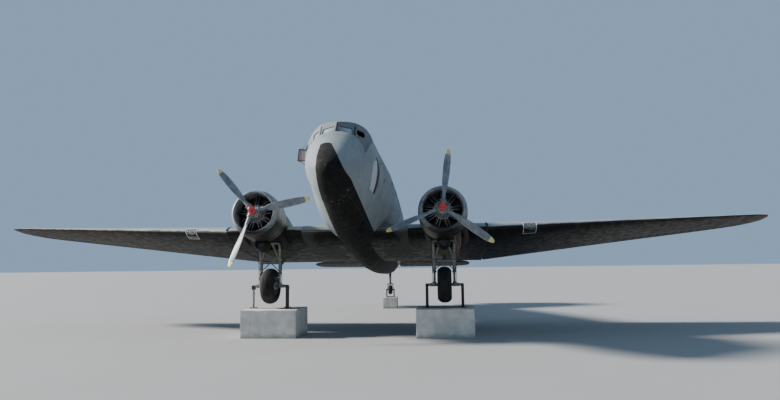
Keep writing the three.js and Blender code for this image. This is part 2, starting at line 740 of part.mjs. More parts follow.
const BAY = { half: 410, from: 4330, to: 6050, roof: -60 };
const nacelleWingCut = loft([1500, WING_JOINT].map((x) => wingRing({ ...WING[0], x }, CAMBER, GAP)));
const bayHole = box([ENGINE_X - BAY.half, BAY.from, -1500], [ENGINE_X + BAY.half, BAY.to, BAY.roof]);
const scoopOuter = loft([
  { y: 3960, half: 190, top: -640, bottom: -960 },
  { y: 4250, half: 215, top: -500, bottom: -1000 },
  { y: 4700, half: 200, top: -500, bottom: -900 },
].map((row) => roundRing(row, 12)));
const scoopHole = loft([
  { y: 3900, half: 160, top: -680, bottom: -930 },
  { y: 4250, half: 180, top: -690, bottom: -950 },
].map((row) => roundRing(row, 12)));
const flapRoom = box([1500, innerFlap.hinge.from[1] - 40, -1200], [WING_JOINT, 10000, -300]);
const cowlRoom = rod(vec(ENGINE_X, 3000, 0), vec(ENGINE_X, 4122, 0), COWL_RADIUS + 12, 32);
let nacelle = loft(NACELLE.map((row) => roundRing(row)));
nacelle = cut(join(nacelle, cut(scoopOuter, cowlRoom)), bayHole, scoopHole);
nacelle = cut(nacelle, nacelleWingCut, flapRoom);

const COWL = [
  [572, 3230], [588, 3120], [625, 3090], [675, 3130], [718, 3260],
  [COWL_RADIUS, 3550], [728, 4110], [702, 4110], [706, 3500],
];
const atEngine = vec(ENGINE_X, 0, 0);
addPair('cowl', 'metal', turned([...COWL, COWL[0]], atEngine, 'y', 32));

const CRANKCASE = [
  [0, 3060], [75, 3060], [80, 3130], [150, 3160], [225, 3290], [275, 3400],
  [285, 3700], [520, 3800], [520, 4000], [0, 4000],
];
let engine = turned(CRANKCASE, atEngine, 'y', 18);
for (let k = 0; k < CYLINDERS; k++) {
  const t = (2 * Math.PI * k) / CYLINDERS;
  const out = vec(Math.sin(t), 0, Math.cos(t));
  const at = (r, y = ENGINE_Y) => vec(ENGINE_X, y, 0).addScaledVector(out, r);
  engine = join(engine, rod(at(250), at(655), 78, 8, 90));
}
addPair('engine', 'steel', engine);

// Engine mount ring closes the gap between the engine's back and the nacelle's front

nacelle = join(nacelle, rod(vec(ENGINE_X, 4000 + GAP, 0), vec(ENGINE_X, 4200, 0), 500, 20));
addPair('nacelle', 'olive', nacelle);

const exhaustPath = new THREE.CatmullRomCurve3([
  vec(ENGINE_X + 560, 4100, -330),
  vec(ENGINE_X + 640, 4170, -420),
  vec(ENGINE_X + 690, 4350, -520),
  vec(ENGINE_X + 690, 4850, -600),
]);
const exhaustSection = new THREE.Shape();
exhaustSection.absarc(0, 0, 85, 0, 2 * Math.PI);
const exhaustGeometry = new THREE.ExtrudeGeometry(exhaustSection, {
  steps: 8, curveSegments: 6, extrudePath: exhaustPath,
});
const exhaustSolid = cut(toSolid(exhaustGeometry),
  loft(NACELLE.slice(0, 3).map((row) => roundRing({ ...row,
    half: row.half + 2, top: row.top + 2, bottom: row.bottom - 2 }))),
  rod(vec(ENGINE_X, 4000, 0), vec(ENGINE_X, 4121, 0), 760, 24));
addPair('exhaust', 'steel', exhaustSolid);

// Propellers

const BLADE_POINTS = 8;

function bladeRing({ r, chord, thick, angle }) {
  const t = THREE.MathUtils.degToRad(angle);
  const ring = [];
  for (let k = 0; k < BLADE_POINTS; k++) {
    const a = (2 * Math.PI * k) / BLADE_POINTS;
    const u = (Math.cos(a) * chord) / 2;
    const v = (Math.sin(a) * thick) / 2;
    ring.push(vec(u * Math.cos(t) - v * Math.sin(t), u * Math.sin(t) + v * Math.cos(t), r));
  }
  return ring;
}

function propeller(side, firstBlade) {
  const hub = turned([
    [0, -95], [90, -95], [120, -60], [120, 50], [70, 66], [0, 66],
  ], vec(0, 0, 0), 'y', 16);
  const blade = toGeometry(loft(BLADE.map(bladeRing)));
  let whole = hub;
  for (let k = 0; k < BLADES; k++) {
    const turn = THREE.MathUtils.degToRad(90 - firstBlade - (360 * k) / BLADES);
    whole = join(whole, toSolid(blade.clone().rotateY(turn)));
  }
  const placed = toGeometry(whole).translate(side * ENGINE_X, DISC_Y, 0);
  return toSolid(placed);
}

const propHinge = { from: [ENGINE_X, DISC_Y, 0], to: [ENGINE_X, DISC_Y - 1000, 0], travel: null };
const DOME = [[0, -255], [38, -250], [66, -225], [78, -180], [78, -96], [0, -96]];
const dome = turned(DOME, vec(ENGINE_X, DISC_Y, 0), 'y', 16);
add('propeller_port', 'blade', propeller(1, 83.2), propHinge);
add('propeller_starboard', 'blade', propeller(-1, 11.2), mirroredHinge(propHinge));
addPair('propeller_dome', 'red', dome, propHinge);

// Main landing gear, drawn to port. Places are measured from the middle of the axle.

const axle = vec(ENGINE_X, AXLE_Y, AXLE_Z);
const gear = ([x, y, z]) => vec(ENGINE_X + x, AXLE_Y + y, AXLE_Z + z);

// Bars on each side of the wheel: sliding leg, leg cylinder, outer and inner strut

const SIDE_BARS = [
  { from: [315, 0, -40], to: [315, -70, 400], radius: 40 },
  { from: [315, -66, 380], to: [315, -130, 770], radius: 56 },
  { from: [315, -130, 750], to: [340, -420, 1330], radius: 40 },
  { from: [315, -130, 750], to: [100, -420, 1330], radius: 30 },
];

// Bars across the wheel: axle, truss bar and the pivot bar in the bay, each by its half length

const CROSS_BARS = [
  { half: 600, y: 0, z: 0, radius: 42 },
  { half: 315, y: -130, z: 750, radius: 42 },
  { half: BAY.half - 2, y: -420, z: 1330, radius: 44 },
];
const mirrorPlace = ([x, y, z]) => [-x, y, z];
const legParts = [
  ...CROSS_BARS.map((bar) => rod(gear([-bar.half, bar.y, bar.z]), gear([bar.half, bar.y, bar.z]),
    bar.radius, 8)),
  ...SIDE_BARS.map((bar) => rod(gear(bar.from), gear(bar.to), bar.radius, 8)),
  ...SIDE_BARS.map((bar) => rod(gear(mirrorPlace(bar.from)), gear(mirrorPlace(bar.to)),
    bar.radius, 8)),
];
const legs = join(...legParts);
addPair('gear_legs', 'steel', legs);

// Drag strut: two bars from the truss bar's ends to a knee, and one from there into the nacelle

const DRAG_FOOT = [315, -62, 740];
const DRAG_KNEE = [0, 1050, 940];
const DRAG_TOP = [0, 1850, 1240];
const nacelleRoom = loft(NACELLE.map((row) => roundRing({ ...row,
  half: row.half + GAP, bottom: row.bottom - GAP })));
const drag = join(
  rod(gear(DRAG_FOOT), gear(DRAG_KNEE), 30, 8),
  rod(gear(mirrorPlace(DRAG_FOOT)), gear(DRAG_KNEE), 30, 8),
  rod(gear(DRAG_KNEE), gear(DRAG_TOP), 36, 8));
addPair('gear_drag_strut', 'steel', cut(drag, legs, nacelleRoom));

const tyreHalf = TYRE_WIDTH / 2;
const TYRE = [
  [300, -150], [335, -tyreHalf * 0.92], [TYRE_RADIUS - 150, -tyreHalf],
  [TYRE_RADIUS - 65, -tyreHalf * 0.82], [TYRE_RADIUS - 12, -tyreHalf * 0.4], [TYRE_RADIUS, 0],
  [TYRE_RADIUS - 12, tyreHalf * 0.4], [TYRE_RADIUS - 65, tyreHalf * 0.82],
  [TYRE_RADIUS - 150, tyreHalf], [335, tyreHalf * 0.92], [300, 150],
];
const RIM = [
  [52, -170], [125, -170], [135, -70], [255, -50], [275, -165], [297, -165],
  [297, 165], [275, 165], [255, 50], [135, 70], [125, 170], [52, 170],
];
const wheelHinge = { from: [ENGINE_X, AXLE_Y, AXLE_Z], to: [ENGINE_X + 1000, AXLE_Y, AXLE_Z],
  travel: null };
addPair('main_tyre', 'rubber', turned([...TYRE, TYRE[0]], axle, 'x', 32), wheelHinge);
addPair('main_rim', 'metal', turned([...RIM, RIM[0]], axle, 'x', 20), wheelHinge);

// Centre wing with its fillets and the nacelles' seats

add('wing_centre', 'black', join(centreWing, cut(fillet, filletBody),
  cut(mirrored(fillet), filletBody)));

// Tail surfaces

const TAIL_HINGE = 17250;
const ELEVATOR = { from: 430, to: 3850 };
const tailHalf = loft(TAILPLANE.map((row) => wingRing({ ...row, x: row.x + 20 }, 0)));
const elevatorA = vec(ELEVATOR.from, TAIL_HINGE, 1050);
const elevatorB = vec(ELEVATOR.to, TAIL_HINGE, 1050);
const elevator = controlSurface(tailHalf, elevatorA, elevatorB, 90, 40, vec(0, 1, 0), 400, [-20, 30]);
const tailBody = fuselageBody(CABIN_END, FUSELAGE.at(-1).y, GAP);
const tailGap = box([-10, TAIL_HINGE - 100, 600], [ELEVATOR.from + 1, 19000, 1500]);
add('tailplane_port', 'olive', cut(elevator.fixed, tailGap, tailBody));
add('tailplane_starboard', 'olive', cut(mirrored(cut(elevator.fixed, tailGap)), tailBody));
addPair('elevator', 'olive', elevator.moving, elevator.hinge);

const RUDDER_HINGE = 17950;
const RUDDER = { bottom: 1550, horn: 4180 };
const verticalTail = loft(FIN.map(finRing));
const rudderHinge = { from: [0, RUDDER_HINGE, RUDDER.bottom], to: [0, RUDDER_HINGE, RUDDER.horn],
  travel: [-30, 30] };
const rudderRegion = join(
  box([-400, RUDDER_HINGE, RUDDER.bottom], [400, LENGTH + 100, 5000]),
  box([-400, 17300, RUDDER.horn + 20], [400, LENGTH, 5000]));
const finRegion = join(
  box([-400, RUDDER_HINGE - 110, 0], [400, LENGTH + 100, 5000]),
  box([-400, 17280, RUDDER.horn], [400, LENGTH, 5000]));
const rudderNose = rod(vec(0, RUDDER_HINGE, RUDDER.bottom), vec(0, RUDDER_HINGE, RUDDER.horn + 40),
  95, 16, 80);
add('fin', 'olive', cut(verticalTail, finRegion, tailBody));
add('rudder', 'olive', join(verticalTail.intersect(rudderRegion), rudderNose), rudderHinge);

// Tail wheel

const tailAxle = vec(0, TAIL_AXLE_Y, TAIL_AXLE_Z);
const tailFork = cut(join(
  rod(vec(-205, TAIL_AXLE_Y, TAIL_AXLE_Z), vec(205, TAIL_AXLE_Y, TAIL_AXLE_Z), 24, 8),
  box([-150, TAIL_AXLE_Y - 40, TAIL_AXLE_Z - 30], [-125, TAIL_AXLE_Y + 40, TAIL_AXLE_Z + 290]),
  box([125, TAIL_AXLE_Y - 40, TAIL_AXLE_Z - 30], [150, TAIL_AXLE_Y + 40, TAIL_AXLE_Z + 290]),
  box([-150, TAIL_AXLE_Y - 90, TAIL_AXLE_Z + 260], [150, TAIL_AXLE_Y + 60, TAIL_AXLE_Z + 310]),
  rod(vec(0, TAIL_AXLE_Y - 60, TAIL_AXLE_Z + 290), vec(0, TAIL_AXLE_Y - 230, 700), 62, 12)),
tailBody);
add('tail_wheel_fork', 'steel', tailFork);
const tailHinge = { from: tailAxle.toArray(), to: [1000, TAIL_AXLE_Y, TAIL_AXLE_Z], travel: null };
add('tail_tyre', 'rubber', turned([
  [110, -60], [130, -95], [190, -100], [225, -60], [TAIL_TYRE_RADIUS, 0], [225, 60], [190, 100],
  [130, 95], [110, 60], [110, -60],
], tailAxle, 'x', 24), tailHinge);
add('tail_rim', 'metal', turned([
  [30, -70], [108, -70], [108, 70], [30, 70], [30, -70],
], tailAxle, 'x', 16), tailHinge);

// Stand: plinths and posts are drawn on the floor, below the pitched plane

const toStand = (x, y, z) => {
  const dy = y - AXLE_Y;
  const dz = z - AXLE_Z;
  return vec(x, dy * Math.cos(PITCH) + dz * Math.sin(PITCH),
    AXLE_HEIGHT - dy * Math.sin(PITCH) + dz * Math.cos(PITCH));
};

plane.rotation.x = -PITCH;
plane.position.copy(toStand(0, 0, 0));

const plinth = box([ENGINE_X - PLINTH.x / 2, -PLINTH.y / 2, 0],
  [ENGINE_X + PLINTH.x / 2, PLINTH.y / 2, PLINTH.z]);
add('plinth_port', 'concrete', plinth, null, stand);
add('plinth_starboard', 'concrete', mirrored(plinth.translate([-STARBOARD_PLINTH_SHIFT, 0, 0])), null,
  stand);

// Each stand frame: two posts with open saddles under the axle ends, and a sill on the plinth

const SADDLE = AXLE_HEIGHT - 42 - GAP;
const postParts = [-1, 1].flatMap((side) => {
  const x = ENGINE_X + side * POST_OFFSET;
  return [
    box([x - 45, -55, PLINTH.z + GAP], [x + 45, 55, SADDLE]),
    box([x - 45, -85, SADDLE - 70], [x + 45, -50, SADDLE + 60]),
    box([x - 45, 50, SADDLE - 70], [x + 45, 85, SADDLE + 60]),
    box([x - 110, -110, PLINTH.z + GAP], [x + 110, 110, PLINTH.z + 25]),
  ];
});
const sill = box([ENGINE_X - POST_OFFSET, -110, PLINTH.z + GAP],
  [ENGINE_X + POST_OFFSET, -60, PLINTH.z + 25]);
const posts = join(...postParts, sill);
add('axle_posts_port', 'steel', posts, null, stand);
add('axle_posts_starboard', 'steel', mirrored(posts), null, stand);

const tailPlace = toStand(0, TAIL_AXLE_Y, TAIL_AXLE_Z);
add('plinth_tail', 'concrete', box(
  [-TAIL_PLINTH.x / 2, tailPlace.y - TAIL_PLINTH.y / 2, 0],
  [TAIL_PLINTH.x / 2, tailPlace.y + TAIL_PLINTH.y / 2, TAIL_PLINTH.z]), null, stand);

const cradleParts = [-1, 1].flatMap((side) => {
  const [a, b] = side > 0 ? [158, 215] : [-215, -158];
  const top = tailPlace.z - 24 - GAP;
  return [
    box([a, tailPlace.y - 60, TAIL_PLINTH.z + GAP], [b, tailPlace.y + 60, top]),
    box([a, tailPlace.y - 60, top - 40], [b, tailPlace.y - 28, top + 70]),
    box([a, tailPlace.y + 28, top - 40], [b, tailPlace.y + 60, top + 70]),
  ];
});
const cradleBase = box([-215, tailPlace.y - 150, TAIL_PLINTH.z + GAP],
  [215, tailPlace.y + 150, TAIL_PLINTH.z + 30]);
add('tail_cradle', 'steel', join(cradleBase, ...cradleParts), null, stand);

// Middle of the whole length over the origin

group.updateMatrixWorld(true);
const bounds = new THREE.Box3().setFromObject(group);
group.position.y = -(bounds.min.y + bounds.max.y) / 2;

export default group;
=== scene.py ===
"""Looks of a twin-engined military transport plane that stands on concrete plinths."""

import json
import math

import bmesh
import bpy
import numpy as np
from mathutils import Matrix, Vector


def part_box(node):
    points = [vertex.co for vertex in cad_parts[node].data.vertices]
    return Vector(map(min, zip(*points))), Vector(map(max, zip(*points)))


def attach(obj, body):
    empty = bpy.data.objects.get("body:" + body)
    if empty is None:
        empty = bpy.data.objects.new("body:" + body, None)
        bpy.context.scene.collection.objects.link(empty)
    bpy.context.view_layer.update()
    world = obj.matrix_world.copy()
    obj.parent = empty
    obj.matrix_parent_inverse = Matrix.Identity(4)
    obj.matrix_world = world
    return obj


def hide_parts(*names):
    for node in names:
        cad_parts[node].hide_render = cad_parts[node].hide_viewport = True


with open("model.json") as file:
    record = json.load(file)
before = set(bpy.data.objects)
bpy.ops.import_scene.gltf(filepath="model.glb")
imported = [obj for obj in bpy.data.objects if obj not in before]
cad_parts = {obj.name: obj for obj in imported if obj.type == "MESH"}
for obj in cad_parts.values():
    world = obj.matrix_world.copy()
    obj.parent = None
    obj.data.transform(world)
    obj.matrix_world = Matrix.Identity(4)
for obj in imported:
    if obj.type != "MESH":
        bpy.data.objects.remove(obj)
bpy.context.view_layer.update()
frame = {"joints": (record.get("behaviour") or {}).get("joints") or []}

# Places. The plane is drawn level, in metres: x toward its port side, y aft from the nose tip,
# z up from the line through the propellers. "to_frame" pitches it nose-up onto its stand.

PITCH = math.radians(10.6)
AXLE = np.array([0.0, 5.3, -1.9])
PORT, STARBOARD = 1, -1
SIDES = {"port": PORT, "starboard": STARBOARD}


def joint_place(name):
    """Place of a joint of the frame."""
    return next(j["pos_m"] for j in frame["joints"] if j["name"] == name)


WHEEL_PLACE = joint_place("wheel_port_spin")
TAIL_WHEEL_PLACE = joint_place("tail_wheel_spin")


def to_frame(points):
    """Points of the level plane turned about the main axle by the pitch and set on the axle's place."""
    points = np.asarray(points, float)
    back, up = points[..., 1] - AXLE[1], points[..., 2] - AXLE[2]
    y = WHEEL_PLACE[1] + back * math.cos(PITCH) + up * math.sin(PITCH)
    z = WHEEL_PLACE[2] - back * math.sin(PITCH) + up * math.cos(PITCH)
    return np.stack([points[..., 0], y, z], -1)


# Camera, at the photograph's viewing angle

CAMERA_PLACE = Vector((2.906, -24.1955, 2.262))
CAMERA_YAW, CAMERA_PITCH, CAMERA_ROLL = (math.radians(a) for a in (-5.377, 6.119, -0.718))
FOCAL_PIXELS = 592.4
IMAGE_WIDTH = 780


def make_camera():
    """Camera turned by yaw, then pitch, then roll about its own line of sight."""
    sight = Vector((math.sin(CAMERA_YAW) * math.cos(CAMERA_PITCH),
                    math.cos(CAMERA_YAW) * math.cos(CAMERA_PITCH), math.sin(CAMERA_PITCH)))
    level = Vector((math.cos(CAMERA_YAW), -math.sin(CAMERA_YAW), 0))
    above = level.cross(sight)
    right = math.cos(CAMERA_ROLL) * level + math.sin(CAMERA_ROLL) * above
    up = right.cross(sight)
    camera = bpy.data.objects.new("camera", bpy.data.cameras.new("camera"))
    camera.data.lens = FOCAL_PIXELS / IMAGE_WIDTH * camera.data.sensor_width
    camera.data.clip_end = 500
    camera.matrix_world = Matrix.Translation(CAMERA_PLACE) @ Matrix((right, up, -sight)).transposed().to_4x4()
    bpy.context.scene.collection.objects.link(camera)
    bpy.context.scene.camera = camera


make_camera()

# Shapes. Each returns its points and its faces, and often the piece's own UV in metres.

AFT, ASIDE, UP = (0, 1, 0), (1, 0, 0), (0, 0, 1)
SKEW = (0.31, 0.27, 0.91)


def unit(vectors):
    """Vectors brought to a length of one."""
    vectors = np.asarray(vectors, float)
    return vectors / np.linalg.norm(vectors, axis=-1, keepdims=True)


def grid_faces(rows, columns):
    """Quads between neighbouring points of a grid that is listed row by row."""
    first = (np.arange(rows - 1)[:, None] * columns + np.arange(columns - 1)).ravel()
    return np.stack([first, first + 1, first + columns + 1, first + columns], 1)


def surface(points, uv=None):
    """A grid of points, rows by columns by three, as one surface."""
    rows, columns = points.shape[:2]
    flat_uv = None if uv is None else np.asarray(uv, float).reshape(-1, 2)
    return points.reshape(-1, 3), grid_faces(rows, columns), flat_uv


def ended(points, uv=None):
    """A grid of points as one surface, its first and last row each closed to a middle point."""
    ends = np.broadcast_to(points[[0, -1]].mean(1, keepdims=True), (2, *points.shape[1:]))
    return surface(np.concatenate([ends[:1], points, ends[1:]]),
                   None if uv is None else np.concatenate([uv[:1], uv, uv[-1:]]))


def ring_turns(sides):
    """Turns once round, with the first one repeated at the end to close the seam."""
    return np.linspace(0, 2 * math.pi, sides + 1)


def lathe(profile, origin=(0, 0, 0), axis=AFT, sides=32):
    """A closed profile of radius and place along the axis, turned once round the axis."""
    profile = np.asarray(profile, float)
    axis = unit(axis)
    first = unit(np.cross(axis, SKEW))
    second = np.cross(axis, first)
    turns = ring_turns(sides)
    spokes = np.cos(turns)[:, None] * first + np.sin(turns)[:, None] * second
    points = np.asarray(origin, float) + profile[:, None, :1] * spokes + profile[:, None, 1:] * axis
    lengths = np.concatenate([[0], np.cumsum(np.linalg.norm(np.diff(profile, axis=0), axis=1))])
    along, round_ = np.meshgrid(lengths, turns * profile[:, 0].max(), indexing="ij")
    return surface(points, np.stack([round_, along], -1))


def path_axes(path, reference):
    """Two axes square to a path at each point, the first of them square to the reference too."""
    along = unit(np.gradient(path, axis=0))
    first = unit(np.cross(along, reference))
    return first, np.cross(first, along)


def tube(path, radius, sides=12, reference=(0.21, 0.13, 0.97)):
    """A round bar along a path: circles square to the path, with both ends closed to a point."""
    path = np.asarray(path, float)
    radii = np.broadcast_to(radius, len(path)).astype(float)
    first, second = path_axes(path, reference)
    ends = [0, *range(len(path)), -1]
    path, radii, first, second = path[ends], radii[ends].copy(), first[ends], second[ends]
    radii[[0, -1]] = 0
    turns = ring_turns(sides)
    ring = np.cos(turns)[None, :, None] * first[:, None] + np.sin(turns)[None, :, None] * second[:, None]
    return surface(path[:, None] + radii[:, None, None] * ring)


def bar(start, end, radius, sides=16, end_radius=None):
    """A straight round bar, or a taper."""
    path = np.stack([start, end]).astype(float)
    return tube(path, [radius, radius if end_radius is None else end_radius], sides)


def capped(rings):
    """Rings of points, stations by points by three, closed round each ring and over both ends."""
    rings = np.concatenate([rings, rings[:, :1]], 1)
    middle = rings[[0, -1], :-1].mean(1, keepdims=True)
    caps = np.broadcast_to(middle, (2, rings.shape[1], 3))
    return surface(np.concatenate([caps[:1], rings, caps[1:]]))


def sweep(path, across, out, profile, closed=False):
    """A closed flat profile of (across, out) carried along a path whose two side axes are given."""
    path, across, out = (np.asarray(a, float) for a in (path, across, out))
    across, out = np.broadcast_to(across, path.shape), np.broadcast_to(out, path.shape)
    profile = np.asarray(profile, float)
    points = (path[:, None] + profile[None, :, :1] * across[:, None]
              + profile[None, :, 1:] * out[:, None])
    if not closed:
        return capped(points)
    points = np.concatenate([points, points[:, :1]], 1)
    return surface(np.concatenate([points, points[:1]]))


def prism(outline, shift):
    """A flat outline and its copy moved by the shift, closed all round."""
    outline = np.asarray(outline, float)
    count = len(outline)
    points = np.concatenate([outline, outline + np.asarray(shift, float)])
    here = np.arange(count)
    after = (here + 1) % count
    sides = np.stack([here, after, after + count, here + count], 1).tolist()
    return points, [*sides, here[::-1].tolist(), (here + count).tolist()], None


def block(low, high):
    """A box between two corners."""
    (x0, y0, z0), (x1, y1, z1) = low, high
    return prism([(x0, y0, z0), (x1, y0, z0), (x1, y1, z0), (x0, y1, z0)], (0, 0, z1 - z0))


def aligned_block(a, b, aft, low, high):
    """A box in axes of its own: along the line from a to b, then as near to "aft" as that allows."""
    along = unit(b - a)
    up = unit(np.cross(along, aft))
    points, faces, _ = block(low, high)
    return a + points @ np.stack([along, np.cross(up, along), up]), faces, None


def studs(places, outs, radius, height, sides=6):
    """Bolt heads: at each place a small prism that stands out along its own direction."""
    places, outs = np.atleast_2d(places).astype(float), np.atleast_2d(outs).astype(float)
    outs = np.broadcast_to(unit(outs), places.shape)
    first = unit(np.cross(outs, SKEW))
    second = np.cross(outs, first)
    turns = np.arange(sides) * 2 * math.pi / sides
    ring = np.cos(turns)[None, :, None] * first[:, None] + np.sin(turns)[None, :, None] * second[:, None]
    low = places[:, None] + radius * ring
    top = low * 0.88 + places[:, None] * 0.12 + height * outs[:, None]
    crown = (places + height * outs)[:, None]
    points = np.concatenate([low, top, crown], 1)
    start = (np.arange(len(places)) * (2 * sides + 1))[:, None, None]
    here, after = np.arange(sides), (np.arange(sides) + 1) % sides
    walls = start + np.stack([here, after, after + sides, here + sides], 1)
    lids = start + np.stack([here + sides, after + sides, np.full(sides, 2 * sides)], 1)
    feet = start[:, 0] + here[::-1]
    faces = [*walls.reshape(-1, 4).tolist(), *lids.reshape(-1, 3).tolist(), *feet.tolist()]
    return points.reshape(-1, 3), faces, None


def rounded(corners, radius, steps=5):
    """Corners of a flat outline rounded by arcs drawn as quadratic curves between their tangent points."""
    corners = np.asarray(corners, float)
    before, after = np.roll(corners, 1, 0) - corners, np.roll(corners, -1, 0) - corners
    start, end = corners + radius * unit(before), corners + radius * unit(after)
    t = np.linspace(0, 1, steps)[None, :, None]
    arcs = (1 - t) ** 2 * start[:, None] + 2 * t * (1 - t) * corners[:, None] + t ** 2 * end[:, None]
    return arcs.reshape(-1, corners.shape[1])


def rounded_box(low, high, radius, steps=5):
    """A rectangle between two corners, with its corners rounded."""
    (a, b), (c, d) = low, high
    return rounded([(a, b), (c, b), (c, d), (a, d)], radius, steps)


def hoop(radius, place, wide, high, sides):
    """Profile of a round ring, for the lathe: an ellipse at a radius and a place along the axis."""
    return [(radius + wide * math.cos(a), place + high * math.sin(a)) for a in ring_turns(sides)]


def circle(count, radius, place, axis=1, start=0.0):
    """Places evenly round the y axis, or another, at a radius and a place along it."""
    t = ring_turns(count)[:-1] + start
    return np.insert(radius * np.stack([np.cos(t), np.sin(t)], -1), axis, place, 1)


def smooth_rows(table, count=1600):
    """A table's rows drawn out along a smooth curve: cubic pieces whose slopes come from the neighbours."""
    table = np.asarray(table, float)
    knots = np.concatenate([[0], np.cumsum(np.linalg.norm(np.diff(table, axis=0), axis=1) ** 0.5)])
    slopes = np.gradient(table, knots, axis=0)
    at = np.linspace(0, knots[-1], count)
    i = np.clip(np.searchsorted(knots, at, side="right") - 1, 0, len(table) - 2)
    width = (knots[i + 1] - knots[i])[:, None]
    u = (at - knots[i])[:, None] / width
    return ((2 * u**3 - 3 * u**2 + 1) * table[i] + (u**3 - 2 * u**2 + u) * width * slopes[i]
            + (3 * u**2 - 2 * u**3) * table[i + 1] + (u**3 - u**2) * width * slopes[i + 1])


def columns_at(rows, place):
    """The other columns of smooth rows, read at places of the first column."""
    return [np.interp(place, rows[:, 0], rows[:, k]) for k in range(1, rows.shape[1])]


def mirror(shape, side):
    """A shape moved to the other side of the plane when the side is starboard."""
    points, faces, uv = shape
    return np.asarray(points, float) * [side, 1, 1], faces, uv


# Pieces


class Piece:
    """A mesh gathered from shapes, which then rides on a body with one finish for each group. Its shapes
    are moved by its middle, mirrored when its side is starboard, and moved outward by "aside"."""

    def __init__(self, name, side=PORT, aside=0.0, middle=(0, 0, 0), level=True):
        self.name, self.side, self.aside, self.middle, self.level = name, side, aside, middle, level
        self.points, self.faces, self.groups, self.uvs = [], [], [], []
        self.count = 0

    def add(self, shape, group=0):
        """Adds a shape's points and faces, with the finish of that group."""
        points, faces, uv = shape
        points = (np.asarray(points, float).reshape(-1, 3) + self.middle) * [self.side, 1, 1]
        points[:, 0] += self.side * self.aside
        faces = faces.tolist() if isinstance(faces, np.ndarray) else faces
        self.faces += [[v + self.count for v in face] for face in faces]
        self.groups += [group] * len(faces)
        self.uvs.append(np.zeros((len(points), 2)) if uv is None else uv)
        self.points.append(points)
        self.count += len(points)
        return self

    def mesh_object(self, finishes=(), merge=1e-5):
        """The gathered mesh, its seams closed and its faces outward, with finishes if it is to be cut."""
        points = np.concatenate(self.points)
        points = to_frame(points) if self.level else points
        mesh = bpy.data.meshes.new(self.name)
        mesh.from_pydata(points.tolist(), [], self.faces)
        corners = np.zeros(len(mesh.loops), int)
        mesh.loops.foreach_get("vertex_index", corners)
        layer = mesh.uv_layers.new(name="metres")
        layer.data.foreach_set("uv", np.concatenate(self.uvs)[corners].ravel())
        mesh.polygons.foreach_set("material_index", self.groups)
        work = bmesh.new()
        work.from_mesh(mesh)
        bmesh.ops.remove_doubles(work, verts=work.verts, dist=merge)
        bmesh.ops.recalc_face_normals(work, faces=work.faces)
        work.to_mesh(mesh)
        work.free()
        for finish in finishes:
            mesh.materials.append(finish)
        piece = bpy.data.objects.new(self.name, mesh)
        bpy.context.scene.collection.objects.link(piece)
        return piece

    def build(self, body, finishes, slot, replaces=(), sharp=32, bevel=0):
        """Makes the piece and lets it ride on its body."""
        return finish_piece(self.mesh_object(), body, finishes, replaces, sharp, bevel)


def finish_piece(piece, body, finishes, replaces=(), sharp=32, bevel=0):
    """Gives a mesh its finishes, smooth faces with sharp edges past an angle, and its body."""
    finishes = finishes if isinstance(finishes, (list, tuple)) else [finishes]
    slots = piece.data.materials
    for finish in finishes[len(slots):]:
        slots.append(finish)
    if bevel:
        rounder = piece.modifiers.new("rounded_edges", "BEVEL")
        rounder.width = bevel
        rounder.segments = 2
        rounder.limit_method = "ANGLE"
        rounder.angle_limit = math.radians(40)
    piece.data.shade_smooth()
    piece.data.set_sharp_from_angle(angle=math.radians(sharp))
    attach(piece, body)
    if replaces:
        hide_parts(replaces)
    return piece


def carve(piece, cutters, operation="DIFFERENCE", side=PORT, aside=0.0):
    """Cuts a mesh by solid shapes, one after another, and keeps the result as its mesh. A cutter given
    with a number leaves faces with the finish of that number. Side and aside are those of a Piece."""
    tools = []
    for k, cutter in enumerate(cutters):
        if isinstance(cutter, bpy.types.Object):
            tool = cutter
        else:
            shape, group = cutter if len(cutter) == 2 else (cutter, 0)
            tool = Piece(f"cutter_{k}", side, aside).add(shape, group).mesh_object(piece.data.materials)
        step = piece.modifiers.new(f"cut_{k}", "BOOLEAN")
        step.solver = "EXACT"
        step.operation = operation
        step.object = tool
        tools.append(tool)
    bpy.context.view_layer.update()
    graph = bpy.context.evaluated_depsgraph_get()
    made = bpy.data.meshes.new_from_object(piece.evaluated_get(graph), depsgraph=graph)
    made.name = piece.name
    piece.modifiers.clear()
    piece.data = made
    for tool in tools:
        bpy.data.objects.remove(tool)
    return piece


# Finishes


